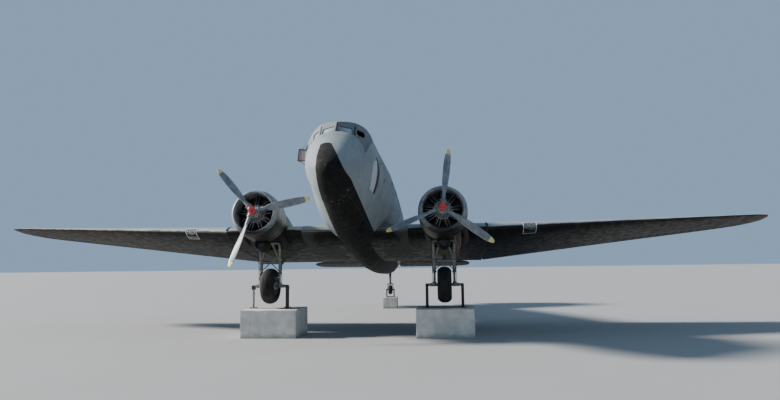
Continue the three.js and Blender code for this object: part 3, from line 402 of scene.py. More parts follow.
class Finish:
    """A material built node by node. Inputs are given by name or number, as a value or a link."""

    def __init__(self, name, **shader):
        self.material = bpy.data.materials.new(name)
        self.material.use_nodes = True
        self.tree = self.material.node_tree
        self.shader = self.tree.nodes["Principled BSDF"]
        self.put(self.shader, {key.replace("_", " "): value for key, value in shader.items()})
        _, y, z = to_frame([0.0, 0.0, 0.0])
        back = (0, z * math.sin(PITCH) - y * math.cos(PITCH), -y * math.sin(PITCH) - z * math.cos(PITCH))
        self.frame_place = self.node("TexCoord").outputs["Object"]
        self.place = self.node("Mapping", {"Vector": self.frame_place, "Rotation": (PITCH, 0, 0),
                                           "Location": back}).outputs[0]
        self.x, self.y, self.z = self.node("SeparateXYZ", {0: self.place}).outputs

    def put(self, node, inputs):
        """Sets a node's inputs, or links them where the value is another node's output."""
        for name, value in inputs.items():
            if isinstance(value, bpy.types.NodeSocket):
                self.tree.links.new(value, node.inputs[name])
            else:
                node.inputs[name].default_value = value

    def node(self, kind, inputs=None, **settings):
        """Adds one node."""
        made = self.tree.nodes.new("ShaderNode" + kind)
        for key, value in settings.items():
            setattr(made, key, value)
        self.put(made, inputs or {})
        return made

    def math(self, operation, a, b=0.0):
        """Two numbers put together by an operation, such as MAXIMUM, or one alone, such as SQRT."""
        return self.node("Math", {0: a, 1: b}, operation=operation).outputs[0]

    def times(self, a, b):
        """Product of two numbers."""
        return self.math("MULTIPLY", a, b)

    def plus(self, a, b):
        """Sum of two numbers."""
        return self.math("ADD", a, b)

    def minus(self, a, b):
        """First number less the second."""
        return self.math("SUBTRACT", a, b)

    def metres(self):
        """The skin's own metres, u across and v along."""
        return self.node("SeparateXYZ", {0: self.node("UVMap", uv_map="metres").outputs[0]}).outputs[:2]

    def ragged(self, reach, scale, detail=6):
        """Noise round nothing, by which an edge wanders within the reach."""
        return self.times(self.minus(self.noise(scale, detail=detail), 0.5), reach)

    def noise(self, scale, stretch=(1, 1, 1), detail=4.0, rough=0.6, at=None):
        """Cloudy noise from 0 to 1, stretched along the axes of the level plane."""
        place = self.node("Mapping", {"Vector": at or self.place, "Scale": stretch}).outputs[0]
        return self.node("TexNoise", {"Vector": place, "Scale": scale, "Detail": detail,
                                      "Roughness": rough}).outputs["Fac"]

    def ramp(self, value, low, high, start=0.0, end=1.0, kind="SMOOTHSTEP"):
        """A smooth step from start to end while the value goes from low to high."""
        inputs = {"Value": value, "From Min": low, "From Max": high, "To Min": start, "To Max": end}
        return self.node("MapRange", inputs, interpolation_type=kind).outputs[0]

    def line(self, value, low, high, start, end):
        """A straight run from start to end while the value goes from low to high, flat beyond."""
        return self.ramp(value, low, high, start, end, "LINEAR")

    def mix(self, share, a, b):
        """Colour a turned into colour b by the share."""
        a, b = (c if isinstance(c, bpy.types.NodeSocket) else (*c, 1) for c in (a, b))
        return self.node("Mix", {0: share, 6: a, 7: b}, data_type="RGBA").outputs[2]

    def lines(self, value, spacing, width):
        """One on lines that repeat at a spacing of the value, and nothing between them."""
        away = self.math("PINGPONG", value, spacing / 2)
        return self.ramp(away, width * 0.4, width, 1, 0)

    def black_below(self, high, low):
        """Near-black that covers everything below a ragged line between two heights: oil and soot, and
        painted shade on the underside.
        """
        return self.ramp(self.plus(self.z, self.ragged(0.3, 4)), low, high, 1, 0)

    def sheets(self):
        """Lap seams and rivet rows on the skin's own metres: u across and v along."""
        u, v = self.metres()
        seams = self.math("MAXIMUM", self.lines(v, 0.98, 0.004), self.lines(u, 0.62, 0.004))
        row, step = self.math("PINGPONG", self.plus(v, 0.022), 0.245), self.math("PINGPONG", u, 0.0195)
        away = self.math("SQRT", self.plus(self.times(row, row), self.times(step, step)))
        return seams, self.ramp(away, 0.003, 0.0055, 1, 0)

    def bump(self, height, strength=0.3, distance=0.004):
        """Relief from a height, on top of any relief that is there."""
        before = self.shader.inputs["Normal"].links
        inputs = {"Height": height, "Strength": strength, "Distance": distance}
        if before:
            inputs["Normal"] = before[0].from_socket
        self.put(self.shader, {"Normal": self.node("Bump", inputs).outputs[0]})

    def done(self, colour=None, roughness=None, metallic=None):
        """Links the colour, roughness and metal share, and returns the material."""
        for name, value in {"Base Color": colour, "Roughness": roughness, "Metallic": metallic}.items():
            if value is not None:
                self.put(self.shader, {name: value})
        return self.material


def skin_paint(name, pale, mid, grime, belly=False, oily=False):
    """Chalky weathered paint: faded patches, rain streaks, grime in the seams and small chips."""
    f = Finish(name, Specular_IOR_Level=0.25)
    patches = f.ramp(f.noise(0.9, (1, 0.6, 1)), 0.35, 0.7)
    colour = f.mix(patches, mid, pale)
    streaks = f.ramp(f.noise(5, (1, 1, 0.12), detail=5), 0.52, 0.78)
    colour = f.mix(f.times(streaks, 0.45), colour, grime)
    blotches = f.ramp(f.noise(3.4, detail=8, rough=0.72), 0.55, 0.72)
    colour = f.mix(f.times(blotches, 0.35), colour, grime)
    if oily:
        soot = f.times(f.ramp(f.noise(2.2, (3, 0.35, 3), detail=6), 0.45, 0.7), 0.5)
        colour = f.mix(soot, colour, (0.035, 0.033, 0.03))
        # Below a ragged line the nacelle turns near-black: oil and painted shade.
        colour = f.mix(f.black_below(0.02, -0.2), colour, (0.007, 0.006, 0.005))
    rough = f.ramp(f.noise(6, detail=6), 0.3, 0.7, 0.5, 0.74)
    if belly:
        black = belly_mask(f)
        worn = f.ramp(f.noise(9, (1, 1, 0.7), detail=9, rough=0.75), 0.575, 0.62)
        worn = f.times(worn, f.times(f.ramp(f.y, 0.65, 0.85), f.ramp(f.y, 1.15, 1.4, 1, 0)))
        tar = f.mix(f.ramp(f.noise(2.5, detail=7), 0.4, 0.75), (0.003, 0.003, 0.003), (0.011, 0.01, 0.01))
        tar = f.mix(worn, tar, (0.13, 0.1, 0.065))
        colour = f.mix(black, colour, tar)
        rough = f.plus(rough, f.times(black, 0.22))
    seams, rivets = f.sheets()
    colour = f.mix(f.times(seams, 0.55), colour, grime)
    colour = f.mix(f.times(rivets, 0.4), colour, grime)
    chips = f.ramp(f.noise(38, detail=7, rough=0.7), 0.69, 0.72)
    colour = f.mix(f.times(chips, 0.7), colour, (0.33, 0.33, 0.31))
    f.bump(f.minus(f.times(rivets, 0.6), seams), 0.5, 0.003)
    f.bump(f.noise(1.6, detail=3), 0.22, 0.05)
    return f.done(colour, rough)


def belly_mask(f):
    """Black paint of the belly. Ahead it lies between a starboard and a port edge, and below a rounded
    top, all three in metres of the level plane: port x(z) in three straight runs, starboard x(y), top
    z = 1.115 - 2.2 (x + 0.15)^2. Beside and behind the wing root it takes all that lies below one line,
    which rises with the tail."""
    fray = f.ragged(0.03, 7)
    x = f.plus(f.x, fray)
    port = f.plus(f.line(f.z, 1.05, 0.22, 0.02, 0.42), f.line(f.z, 0.22, 0.1, 0.0, 0.12))
    port = f.plus(port, f.line(f.z, 0.1, -0.28, 0.0, 0.18))
    port = f.plus(port, f.line(f.y, 4.0, 6.5, 0.0, 0.6))
    starboard = f.plus(f.line(f.y, 0.0, 4.0, -0.285, -0.4), f.line(f.y, 4.0, 6.5, 0.0, -0.8))
    cap = f.plus(f.x, 0.15)
    cap = f.plus(f.z, f.times(f.times(cap, cap), 2.2))
    left = f.ramp(f.minus(x, starboard), -0.012, 0.012)
    right = f.ramp(f.minus(x, port), -0.008, 0.008, 1, 0)
    low = f.ramp(f.plus(cap, fray), 1.105, 1.125, 1, 0)
    ahead = f.times(f.times(left, right), low)
    edge = f.plus(f.line(f.y, 4.0, 4.6, -0.8, -0.26), f.line(f.y, 9.0, 17.3, 0.0, 1.15))
    aft = f.ramp(f.minus(f.plus(f.z, fray), edge), -0.012, 0.012, 1, 0)
    return f.mix(f.ramp(f.y, 4.6, 5.2), f.math("MAXIMUM", ahead, aft), aft)


AIRFRAME_PAINT = skin_paint("airframe_paint", (0.27, 0.3, 0.31), (0.205, 0.235, 0.245),
                            (0.1, 0.105, 0.1), belly=True)
NACELLE_PAINT = skin_paint("nacelle_paint", (0.24, 0.265, 0.25), (0.175, 0.195, 0.18),
                           (0.06, 0.06, 0.052), oily=True)


def wing_paint():
    """Wing skin. On its own metres u is the way round from the leading edge, below it negative, and v
    the span: pale above and on the nose, black with soot below inboard, and dusty brown outboard, the
    lighter brown partly painted ground-bounce light."""
    f = Finish("wing_paint", Specular_IOR_Level=0.3)
    u, v = f.metres()
    below = f.ramp(f.plus(u, f.ragged(0.03, 1.5, 3)), 0.004, 0.012, 1, 0)
    above = f.mix(f.ramp(f.noise(0.8), 0.35, 0.7), (0.2, 0.225, 0.235), (0.285, 0.31, 0.32))
    streaks = f.noise(3.5, (1.0, 0.14, 1), detail=7, rough=0.7)
    dust = f.mix(f.ramp(streaks, 0.35, 0.68), (0.01, 0.008, 0.006), (0.045, 0.031, 0.019))
    dust = f.mix(f.ramp(f.noise(1.1, detail=5), 0.58, 0.72), dust, (0.07, 0.042, 0.022))
    soot = f.mix(f.ramp(streaks, 0.45, 0.75), (0.002, 0.002, 0.002), (0.01, 0.008, 0.006))
    # Below, the underside turns lighter brown outboard than inboard: dust, with painted ground-bounce light
    # outboard.
    out = f.ramp(f.plus(f.math("ABSOLUTE", v), f.times(f.noise(0.9), 3.0)), 5.5, 11.5)
    under = f.mix(out, soot, dust)
    rust = f.ramp(f.noise(1.7, (1, 0.5, 1), detail=8, rough=0.7), 0.66, 0.7)
    under = f.mix(f.times(rust, 0.6), under, (0.14, 0.055, 0.02))
    colour = f.mix(below, above, under)
    seams, rivets = f.sheets()
    colour = f.mix(f.times(seams, 0.6), colour, (0.03, 0.028, 0.025))
    colour = f.mix(f.times(rivets, 0.35), colour, (0.1, 0.09, 0.075))
    edge = f.times(f.ramp(f.math("ABSOLUTE", u), 0.02, 0.1, 1, 0), f.ramp(f.noise(30, detail=8, rough=0.7),
                                                                          0.64, 0.68))
    colour = f.mix(f.times(edge, 0.35), colour, (0.3, 0.31, 0.31))
    f.bump(f.minus(f.times(rivets, 0.6), seams), 0.5, 0.003)
    f.bump(f.noise(1.4, detail=3), 0.22, 0.05)
    return f.done(colour, f.ramp(f.noise(5, detail=6), 0.3, 0.7, 0.5, 0.78))


WING_PAINT = wing_paint()


def fabric_paint(name, dark_below=False):
    """Doped fabric of the tail's control surfaces: pale, streaked, with a fine weave, and dark below
    where u, the way from the leading edge, is negative."""
    f = Finish(name, Specular_IOR_Level=0.3)
    colour = f.mix(f.ramp(f.noise(1.1, (1, 1, 0.6)), 0.35, 0.7), (0.17, 0.19, 0.19), (0.25, 0.275, 0.28))
    colour = f.mix(f.times(f.ramp(f.noise(5, (1, 1, 0.15), detail=6), 0.5, 0.75), 0.5), colour,
                   (0.085, 0.082, 0.07))
    colour = f.mix(f.ramp(f.noise(26, detail=8, rough=0.75), 0.66, 0.7), colour, (0.3, 0.27, 0.21))
    if dark_below:
        u = f.metres()[0]
        under = f.mix(f.ramp(f.noise(4, detail=6), 0.35, 0.7), (0.012, 0.011, 0.01), (0.04, 0.033, 0.026))
        colour = f.mix(f.ramp(u, -0.02, 0.0, 1, 0), colour, under)
    weave = f.plus(f.lines(f.x, 0.0022, 0.0011), f.lines(f.y, 0.0022, 0.0011))
    f.bump(weave, 0.12, 0.0006)
    return f.done(colour, 0.72)


FABRIC_PAINT = fabric_paint("fabric_paint")
ELEVATOR_PAINT = fabric_paint("elevator_paint", True)


def worn_metal(name, clean, dirty, rust, metallic, rough, rust_share=0.5, scale=6.0, soot=None):
    """Metal or its paint, with stains, rust that breaks through in patches, and small pits. With soot
    given as two heights, it turns black between them: oil and soot, and painted shade on the underside."""
    f = Finish(name)
    colour = f.mix(f.ramp(f.noise(scale, detail=6), 0.35, 0.7), clean, dirty)
    rusty = f.ramp(f.noise(scale * 1.7, (1, 1, 0.6), detail=9, rough=0.72), 0.7 - 0.3 * rust_share,
                   0.76 - 0.25 * rust_share)
    flakes = f.mix(f.noise(scale * 9, detail=5), rust, tuple(c * 0.35 for c in rust))
    colour = f.mix(rusty, colour, flakes)
    if soot:
        # Black toward the bottom: oil and soot, and painted shade.
        colour = f.mix(f.black_below(*soot), colour, (0.006, 0.005, 0.004))
    f.bump(f.noise(scale * 14, detail=6), 0.25, 0.002)
    f.bump(rusty, 0.3, 0.002)
    return f.done(colour, f.plus(f.times(rusty, 0.9 - rough), rough),
                  f.times(f.minus(1.0, rusty), metallic))


# The cowl drum turns black toward its bottom as oil and soot with painted shade; the lip's black bottom is
# painted shade.
COWL_PAINT = worn_metal("cowl_paint", (0.24, 0.265, 0.275), (0.15, 0.165, 0.165), (0.12, 0.09, 0.06),
                        0.15, 0.45, 0.15, soot=(0.0, -0.4))
COWL_LIP = worn_metal("cowl_lip", (0.25, 0.27, 0.28), (0.13, 0.14, 0.145), (0.1, 0.08, 0.06), 0.2, 0.45, 0.2,
                      soot=(-0.35, -0.66))
CASE_METAL = worn_metal("case_metal", (0.3, 0.31, 0.32), (0.12, 0.12, 0.12), (0.09, 0.06, 0.04),
                        0.5, 0.45, 0.15, 14)
FIN_METAL = worn_metal("fin_metal", (0.05, 0.05, 0.052), (0.02, 0.02, 0.02), (0.1, 0.06, 0.035),
                       0.5, 0.5, 0.35, 18)
ROD_METAL = worn_metal("rod_metal", (0.5, 0.5, 0.5), (0.24, 0.24, 0.23), (0.14, 0.075, 0.04),
                       0.7, 0.4, 0.08, 22)
COPPER = worn_metal("copper_pipe", (0.36, 0.19, 0.1), (0.16, 0.1, 0.06), (0.09, 0.12, 0.09), 0.8, 0.4, 0.3,
                    20)
GEAR_PAINT = worn_metal("gear_paint", (0.21, 0.21, 0.205), (0.09, 0.09, 0.085), (0.11, 0.055, 0.03),
                        0.2, 0.5, 0.35, 9)
PISTON_STEEL = worn_metal("piston_steel", (0.55, 0.55, 0.54), (0.3, 0.29, 0.27), (0.2, 0.09, 0.04),
                          0.95, 0.25, 0.35, 16)
POST_STEEL = worn_metal("post_steel", (0.05, 0.047, 0.045), (0.025, 0.022, 0.02), (0.13, 0.05, 0.022),
                        0.2, 0.65, 0.7, 5)
RIM_PAINT = worn_metal("rim_paint", (0.27, 0.28, 0.275), (0.13, 0.13, 0.125), (0.15, 0.08, 0.04),
                       0.35, 0.5, 0.3, 9)
EXHAUST_RUST = worn_metal("exhaust_rust", (0.06, 0.045, 0.036), (0.035, 0.028, 0.024), (0.085, 0.05, 0.03),
                          0.2, 0.8, 0.6, 10)
SOOTED_METAL = worn_metal("sooted_metal", (0.022, 0.019, 0.016), (0.01, 0.009, 0.008), (0.06, 0.035, 0.018),
                          0.1, 0.6, 0.3, 8)
COCKPIT_TRIM = worn_metal("cockpit_trim", (0.045, 0.047, 0.046), (0.025, 0.026, 0.025), (0.08, 0.07, 0.05),
                          0.1, 0.6, 0.15, 12)
CABIN_TRIM = worn_metal("cabin_trim", (0.15, 0.17, 0.11), (0.1, 0.115, 0.075), (0.09, 0.06, 0.035),
                        0.1, 0.55, 0.3, 6)
FLOOR_METAL = worn_metal("floor_metal", (0.28, 0.28, 0.27), (0.15, 0.145, 0.135), (0.1, 0.07, 0.045),
                         0.6, 0.5, 0.3, 7)


def blade_paint():
    """Propeller blade. On its own metres v is the distance from the hub: grey-blue, worn bright along
    the edge that meets the air, with a band of faded yellow at the tip."""
    f = Finish("blade_paint", Specular_IOR_Level=0.4)
    u, v = f.metres()
    colour = f.mix(f.ramp(f.noise(5, detail=6), 0.35, 0.7), (0.12, 0.14, 0.17), (0.22, 0.24, 0.27))
    scuffs = f.ramp(f.noise(14, (1, 1, 0.4), detail=9, rough=0.72), 0.56, 0.66)
    colour = f.mix(f.times(scuffs, 0.6), colour, (0.4, 0.4, 0.39))
    tip = f.mix(f.ramp(f.noise(12, detail=6), 0.4, 0.7), (0.72, 0.6, 0.2), (0.5, 0.42, 0.2))
    colour = f.mix(f.ramp(v, 1.615, 1.622), colour, tip)
    worn = f.times(f.ramp(f.math("ABSOLUTE", u), 0.004, 0.028, 1, 0),
                   f.ramp(f.noise(22, detail=8), 0.42, 0.55))
    colour = f.mix(f.times(worn, 0.8), colour, (0.5, 0.5, 0.49))
    f.bump(scuffs, 0.2, 0.001)
    return f.done(colour, f.ramp(scuffs, 0, 1, 0.42, 0.6), f.times(worn, 0.7))


BLADE_PAINT = blade_paint()


def dome_paint():
    """Red enamel, sun-faded in patches, with chips down to grey metal."""
    f = Finish("dome_paint", Coat_Weight=0.15, Coat_Roughness=0.3)
    colour = f.mix(f.ramp(f.noise(12, detail=5), 0.35, 0.7), (0.5, 0.026, 0.028), (0.68, 0.062, 0.055))
    chips = f.ramp(f.noise(55, detail=8, rough=0.72), 0.64, 0.67)
    f.bump(chips, -0.3, 0.001)
    return f.done(f.mix(chips, colour, (0.2, 0.19, 0.18)), f.ramp(chips, 0, 1, 0.34, 0.6))


DOME_PAINT = dome_paint()


def rubber():
    """Old tyre rubber, grey with dust and bleached along cracks."""
    f = Finish("tyre_rubber", Specular_IOR_Level=0.3)
    colour = f.mix(f.ramp(f.noise(5, detail=7), 0.35, 0.75), (0.012, 0.0115, 0.0115), (0.03, 0.027, 0.025))
    dust = f.ramp(f.noise(11, detail=9, rough=0.75), 0.52, 0.7)
    colour = f.mix(f.times(dust, 0.35), colour, (0.11, 0.09, 0.07))
    cracks = f.node("TexVoronoi", {"Vector": f.place, "Scale": 42.0}, feature="DISTANCE_TO_EDGE").outputs[0]
    f.bump(f.ramp(cracks, 0.0, 0.05), 0.2, 0.001)
    return f.done(colour, 0.86)


TYRE_RUBBER = rubber()


def concrete():
    """Cast concrete: sand grain, air holes, damp stains at the foot and a rust run below the steel."""
    f = Finish("cast_concrete", Specular_IOR_Level=0.2)
    height = f.node("SeparateXYZ", {0: f.frame_place}).outputs[2]
    grain = f.noise(90, detail=6, at=f.frame_place)
    colour = f.mix(f.ramp(f.noise(2.6, detail=7, at=f.frame_place), 0.35, 0.68), (0.6, 0.575, 0.53),
                   (0.78, 0.755, 0.7))
    colour = f.mix(f.times(grain, 0.35), colour, (0.24, 0.23, 0.21))
    holes = f.node("TexVoronoi", {"Vector": f.frame_place, "Scale": 26.0}).outputs["Distance"]
    pits = f.times(f.ramp(holes, 0.1, 0.16, 1, 0), f.ramp(f.noise(7, at=f.frame_place), 0.52, 0.58))
    colour = f.mix(pits, colour, (0.12, 0.115, 0.105))
    damp = f.ramp(f.plus(height, f.times(f.noise(4, at=f.frame_place), 0.35)), 0.2, 0.38, 0.45, 0.0)
    colour = f.mix(damp, colour, (0.13, 0.125, 0.1))
    runs = f.ramp(f.noise(7, (1, 1, 0.08), detail=6, at=f.frame_place), 0.56, 0.72)
    colour = f.mix(f.times(runs, 0.4), colour, (0.2, 0.16, 0.115))
    boards = f.lines(height, 0.29, 0.006)
    f.bump(f.minus(f.times(grain, 0.4), f.plus(pits, boards)), 0.45, 0.006)
    return f.done(colour, 0.9)


CONCRETE = concrete()


def glass(name, tint, rough, clear=0.85, film=(0.45, 0.45, 0.42)):
    """Old dusty glass: dark and see-through, hazy where dust lies."""
    f = Finish(name, Transmission_Weight=clear, IOR=1.45)
    dust = f.ramp(f.noise(7, (1, 1, 0.5), detail=8), 0.42, 0.75, 0.0, 0.6)
    return f.done(f.mix(dust, tint, film), f.plus(f.times(dust, 0.4), rough))


GLASS = glass("window_glass", (0.5, 0.56, 0.58), 0.05)
# The windscreen glass is pale blue-grey and mostly opaque: dust, with a painted sky reflection.
WINDSCREEN_GLASS = glass("windscreen_glass", (0.36, 0.42, 0.48), 0.12, 0.2, (0.6, 0.63, 0.66))
LAMP_GLASS = glass("lamp_glass", (0.9, 0.92, 0.9), 0.02, 0.9, (0.12, 0.12, 0.115))


def simple(name, colour, other, rough, metallic=0.0, scale=10.0, relief=0.1):
    """A plain finish whose colour drifts between two tones."""
    f = Finish(name)
    drift = f.noise(scale, detail=6)
    f.bump(drift, relief, 0.002)
    return f.done(f.mix(f.ramp(drift, 0.35, 0.68), colour, other), rough, metallic)


RUBBER_SEAL = simple("rubber_seal", (0.02, 0.02, 0.02), (0.05, 0.048, 0.044), 0.8)
REFLECTOR = simple("lamp_reflector", (0.78, 0.78, 0.76), (0.6, 0.6, 0.57), 0.18, 0.9)
SEAT_LEATHER = simple("seat_leather", (0.05, 0.032, 0.02), (0.09, 0.06, 0.038), 0.5, 0.0, 25, 0.4)
HOSE_BROWN = simple("hose_brown", (0.15, 0.115, 0.085), (0.07, 0.055, 0.042), 0.8, 0.0, 20, 0.3)
WIRE_BLACK = simple("wire_black", (0.02, 0.02, 0.022), (0.05, 0.045, 0.04), 0.6)
LAMP_RED = simple("lamp_red", (0.35, 0.015, 0.01), (0.22, 0.01, 0.01), 0.2)
LAMP_GREEN = simple("lamp_green", (0.01, 0.2, 0.07), (0.01, 0.12, 0.05), 0.2)
DIAL_FACE = simple("dial_face", (0.01, 0.01, 0.011), (0.025, 0.025, 0.025), 0.3)
DIAL_MARK = simple("dial_mark", (0.75, 0.75, 0.68), (0.6, 0.6, 0.5), 0.5)
PLATE_PAINT = simple("plate_paint", (0.52, 0.53, 0.56), (0.4, 0.41, 0.44), 0.55, 0.0, 14, 0.1)
PLATE_PINK = simple("side_plate", (0.36, 0.27, 0.25), (0.24, 0.18, 0.17), 0.6, 0.0, 18, 0.2)
LAMP_SHADE = simple("lamp_shade", (0.012, 0.013, 0.015), (0.03, 0.031, 0.034), 0.25)
STUDIO_FLOOR = simple("studio_floor", (0.29, 0.29, 0.286), (0.3, 0.3, 0.296), 0.9, 0.0, 0.3, 0.01)

# Fuselage

# Sections of the fuselage: distance aft, half width, top, bottom, height of the widest line, and
# the ring's exponents above and below that line. The cockpit starts taller than the nose ends.
NOSE_SECTIONS = [
    (0.0, 0.0, 0.285, 0.275, 0.28, 2.1, 1.65), (0.015, 0.09, 0.365, 0.2, 0.28, 2.1, 1.65),
    (0.06, 0.23, 0.48, 0.08, 0.29, 2.1, 1.65), (0.22, 0.4, 0.72, -0.09, 0.36, 2.1, 1.65),
    (0.5, 0.57, 1.03, -0.24, 0.47, 2.1, 1.65), (0.8, 0.7, 1.35, -0.34, 0.6, 2.1, 1.65),
    (1.1, 0.81, 1.65, -0.42, 0.75, 2.2, 1.65)]
BODY_SECTIONS = [
    (1.101, 0.81, 1.94, -0.42, 0.75, 2.2, 1.65), (1.62, 0.92, 2.095, -0.51, 1.04, 3.4, 1.65),
    (2.6, 1.03, 2.131, -0.62, 1.08, 2.7, 1.8), (3.9, 1.19, 2.11, -0.69, 1.13, 2.2, 1.9),
    (5.2, 1.26, 2.07, -0.72, 1.12, 2.1, 1.65), (9.0, 1.26, 2.03, -0.69, 1.1, 2.1, 1.65),
    (11.2, 1.19, 2.0, -0.5, 1.1, 2.1, 1.65), (13.3, 1.01, 1.94, -0.18, 1.13, 2.1, 1.65),
    (15.5, 0.69, 1.79, 0.19, 1.15, 2.1, 1.65), (17.3, 0.37, 1.6, 0.56, 1.15, 2.1, 1.65),
    (18.5, 0.17, 1.38, 0.83, 1.12, 2.1, 1.65), (19.1, 0.06, 1.22, 1.01, 1.115, 2.1, 1.65)]
FUSELAGE_ROWS = np.concatenate([smooth_rows(NOSE_SECTIONS, 400), smooth_rows(BODY_SECTIONS)])
SKIN, COCKPIT_WALL = 0.03, 0.045
NOSE_END, COCKPIT_END, FRONT_END, CABIN_END, TAIL_END = 1.1, 2.6, 6.9, 13.3, 19.1


def fuselage_points(y, turn, grow=0.0):
    """Points of the skin: at a distance aft and a turn from the port side up, each quarter of the ring
    is a superellipse whose half axes are the half width and the distance to the top or the bottom."""
    y, turn = np.broadcast_arrays(np.asarray(y, float), np.asarray(turn, float))
    half, top, bottom, widest, above, below = columns_at(FUSELAGE_ROWS, y)
    up = np.sin(turn) > 0
    power = 2 / np.where(up, above, below)
    across = np.sign(np.cos(turn)) * np.abs(np.cos(turn)) ** power
    rise = np.sign(np.sin(turn)) * np.abs(np.sin(turn)) ** power
    reach = np.maximum(np.where(up, top - widest, widest - bottom) + grow, 0.002)
    return np.stack([np.maximum(half + grow, 0) * across, y, widest + reach * rise], -1)


def skin_x(y, z, grow=0.0):
    """Half width of the fuselage at a distance aft and a height."""
    half, top, bottom, widest, above, below = columns_at(FUSELAGE_ROWS, y)
    up = z > widest
    reach, power = np.where(up, top - widest, widest - bottom), np.where(up, above, below)
    share = np.clip(np.abs(z - widest) / reach, 0, 1)
    return (half + grow) * (1 - share ** power) ** (1 / power)


GIRTH = 7.9
SKIN_FINISHES = [AIRFRAME_PAINT, CABIN_TRIM]


def fuselage_body(start, end, grow=0.0, step=0.09, sides=104):
    """Closed body of the fuselage between two places, its rings a step apart and closer at the nose."""
    count = max(int((end - start) / step), 3) + 1
    y = np.linspace(start, end, count)
    if start == 0:
        y = end * np.linspace(0, 1, 30) ** 1.8
    turn = -math.pi / 2 + ring_turns(sides)
    points = fuselage_points(y[:, None], turn[None, :], grow)
    uv = np.stack(np.broadcast_arrays((turn / (2 * math.pi) * GIRTH)[None, :], y[:, None]), -1)
    return ended(points, uv)


def fuselage_skin(name, start, end, cutters):
    """A fuselage section as a shell with its holes cut."""
    shell = Piece(name).add(fuselage_body(start, end)).mesh_object(SKIN_FINISHES)
    return carve(shell, [(fuselage_body(start - 0.05, end + 0.05, -SKIN, sides=72), 1), *cutters])


def side_prism(outline, low_x=0.3, high_x=1.5, side=PORT):
    """Outline of (distance aft, height) carried across between two lateral places."""
    corners = [(side * low_x, y, z) for y, z in outline]
    return prism(corners, (side * (high_x - low_x), 0, 0))


CABIN_WINDOWS = [(4.25, 1.33), (5.55, 1.33), (6.35, 1.33), (7.25, 1.33), (8.2, 1.32), (9.15, 1.32),
                 (10.35, 1.31)]
AFT_WINDOW = (11.44, 1.3)
WINDOW_HALF_Y, WINDOW_HALF_Z = 0.215, 0.16
CREW_DOOR = {"start": 2.64, "end": 3.34, "low": 0.39, "high": 1.48}
CARGO_DOOR = {"start": 10.9, "middle": 11.98, "end": 13.05, "low": 0.19, "high": 1.78}


def window_outline(y, z):
    """Rounded rectangle of (distance aft, height) round a cabin window's middle."""
    return rounded_box((y - WINDOW_HALF_Y, z - WINDOW_HALF_Z), (y + WINDOW_HALF_Y, z + WINDOW_HALF_Z), 0.07)


def window_cutter(place, side):
    """Solid that cuts one cabin window."""
    return side_prism(window_outline(*place), 0.6, side=side)


def windows(start, end):
    """Places and sides of the cabin windows between two places along the fuselage."""
    found = [(place, side) for place in CABIN_WINDOWS for side in (PORT, STARBOARD) if start < place[0] < end]
    if start < AFT_WINDOW[0] < end:
        found.append((AFT_WINDOW, STARBOARD))
    return found


def door_outline(door, start=None, end=None):
    """Rounded outline of a door as (distance aft, height), or of one leaf between its own ends."""
    return rounded_box((start or door["start"], door["low"]), (end or door["end"], door["high"]), 0.09)


# Flat faces of the cockpit's front, beside the centre post and outside the corner post: the sweep
# aft per metre outward, and the start aft of the centre post
PANE_RAKE, POST_FOOT_Y, POST_FOOT_Z, CORNER_X = 0.45, 1.085, 1.66, 0.48
FRONT_FACE, CORNER_FACE = (0.45, 0.0), (1.1, CORNER_X * (0.45 - 1.1))
# Windows in the faces as (lateral place, height), and the side window as (distance aft, height)
PANE = [(0.045, 1.69), (0.45, 1.612), (0.405, 1.82), (0.045, 1.842)]
CORNER_WINDOW = [(0.515, 1.66), (0.585, 1.59), (0.725, 1.585), (0.735, 1.7), (0.69, 1.8), (0.515, 1.81)]
SIDE_WINDOW = [(1.9, 1.6), (2.43, 1.6), (2.43, 1.9), (1.96, 1.9)]
# Sill below the faces: lateral place, height at the face, height at the nose section
SILL = np.array([
    (-0.002, 1.655, 1.65), (0.3, 1.63, 1.602), (0.48, 1.577, 1.507), (0.65, 1.56, 1.332), (0.75, 1.55, 1.137),
    (0.8, 1.547, 0.924), (0.82, 1.545, 0.925), (0.87, 1.541, 0.98), (0.9, 1.538, 1.03), (0.95, 1.533, 1.1),
    (1.3, 1.5, 1.1)])


def face_out(face):
    """Outward direction of a face on the port side."""
    return unit([face[0], -1, PANE_RAKE])


def face_points(face, outline, out=0.0):
    """Places on a face's plane for lateral places and heights, moved out along its normal."""
    outline = np.asarray(outline, float)
    x, z = outline[:, 0], outline[:, 1]
    y = POST_FOOT_Y + face[1] + (z - POST_FOOT_Z) * PANE_RAKE + x * face[0]
    return np.stack([x, y, z], -1) + out * face_out(face)


def windscreen_block(face, inset, side):
    """Everything in front of a face and above the sill, moved inward by the inset."""
    x, low, nose = SILL.T - [[0], [inset], [inset]]
    high, ahead = np.full_like(x, 2.5), np.full_like(x, NOSE_END - 0.4)
    y = [face_points(face, np.stack([x, z], -1))[:, 1] + inset for z in (low, high)]
    y += [ahead, ahead, ahead + 0.37]
    rings = np.stack([np.broadcast_to(side * x, (5, len(x))), y, [low, high, high, nose, nose]], -1)
    return capped(rings.swapaxes(0, 1))


def windscreen_blocks(inset):
    """The blocks of both faces on both sides."""
    return [windscreen_block(face, inset, side) for face in (FRONT_FACE, CORNER_FACE)
            for side in (PORT, STARBOARD)]


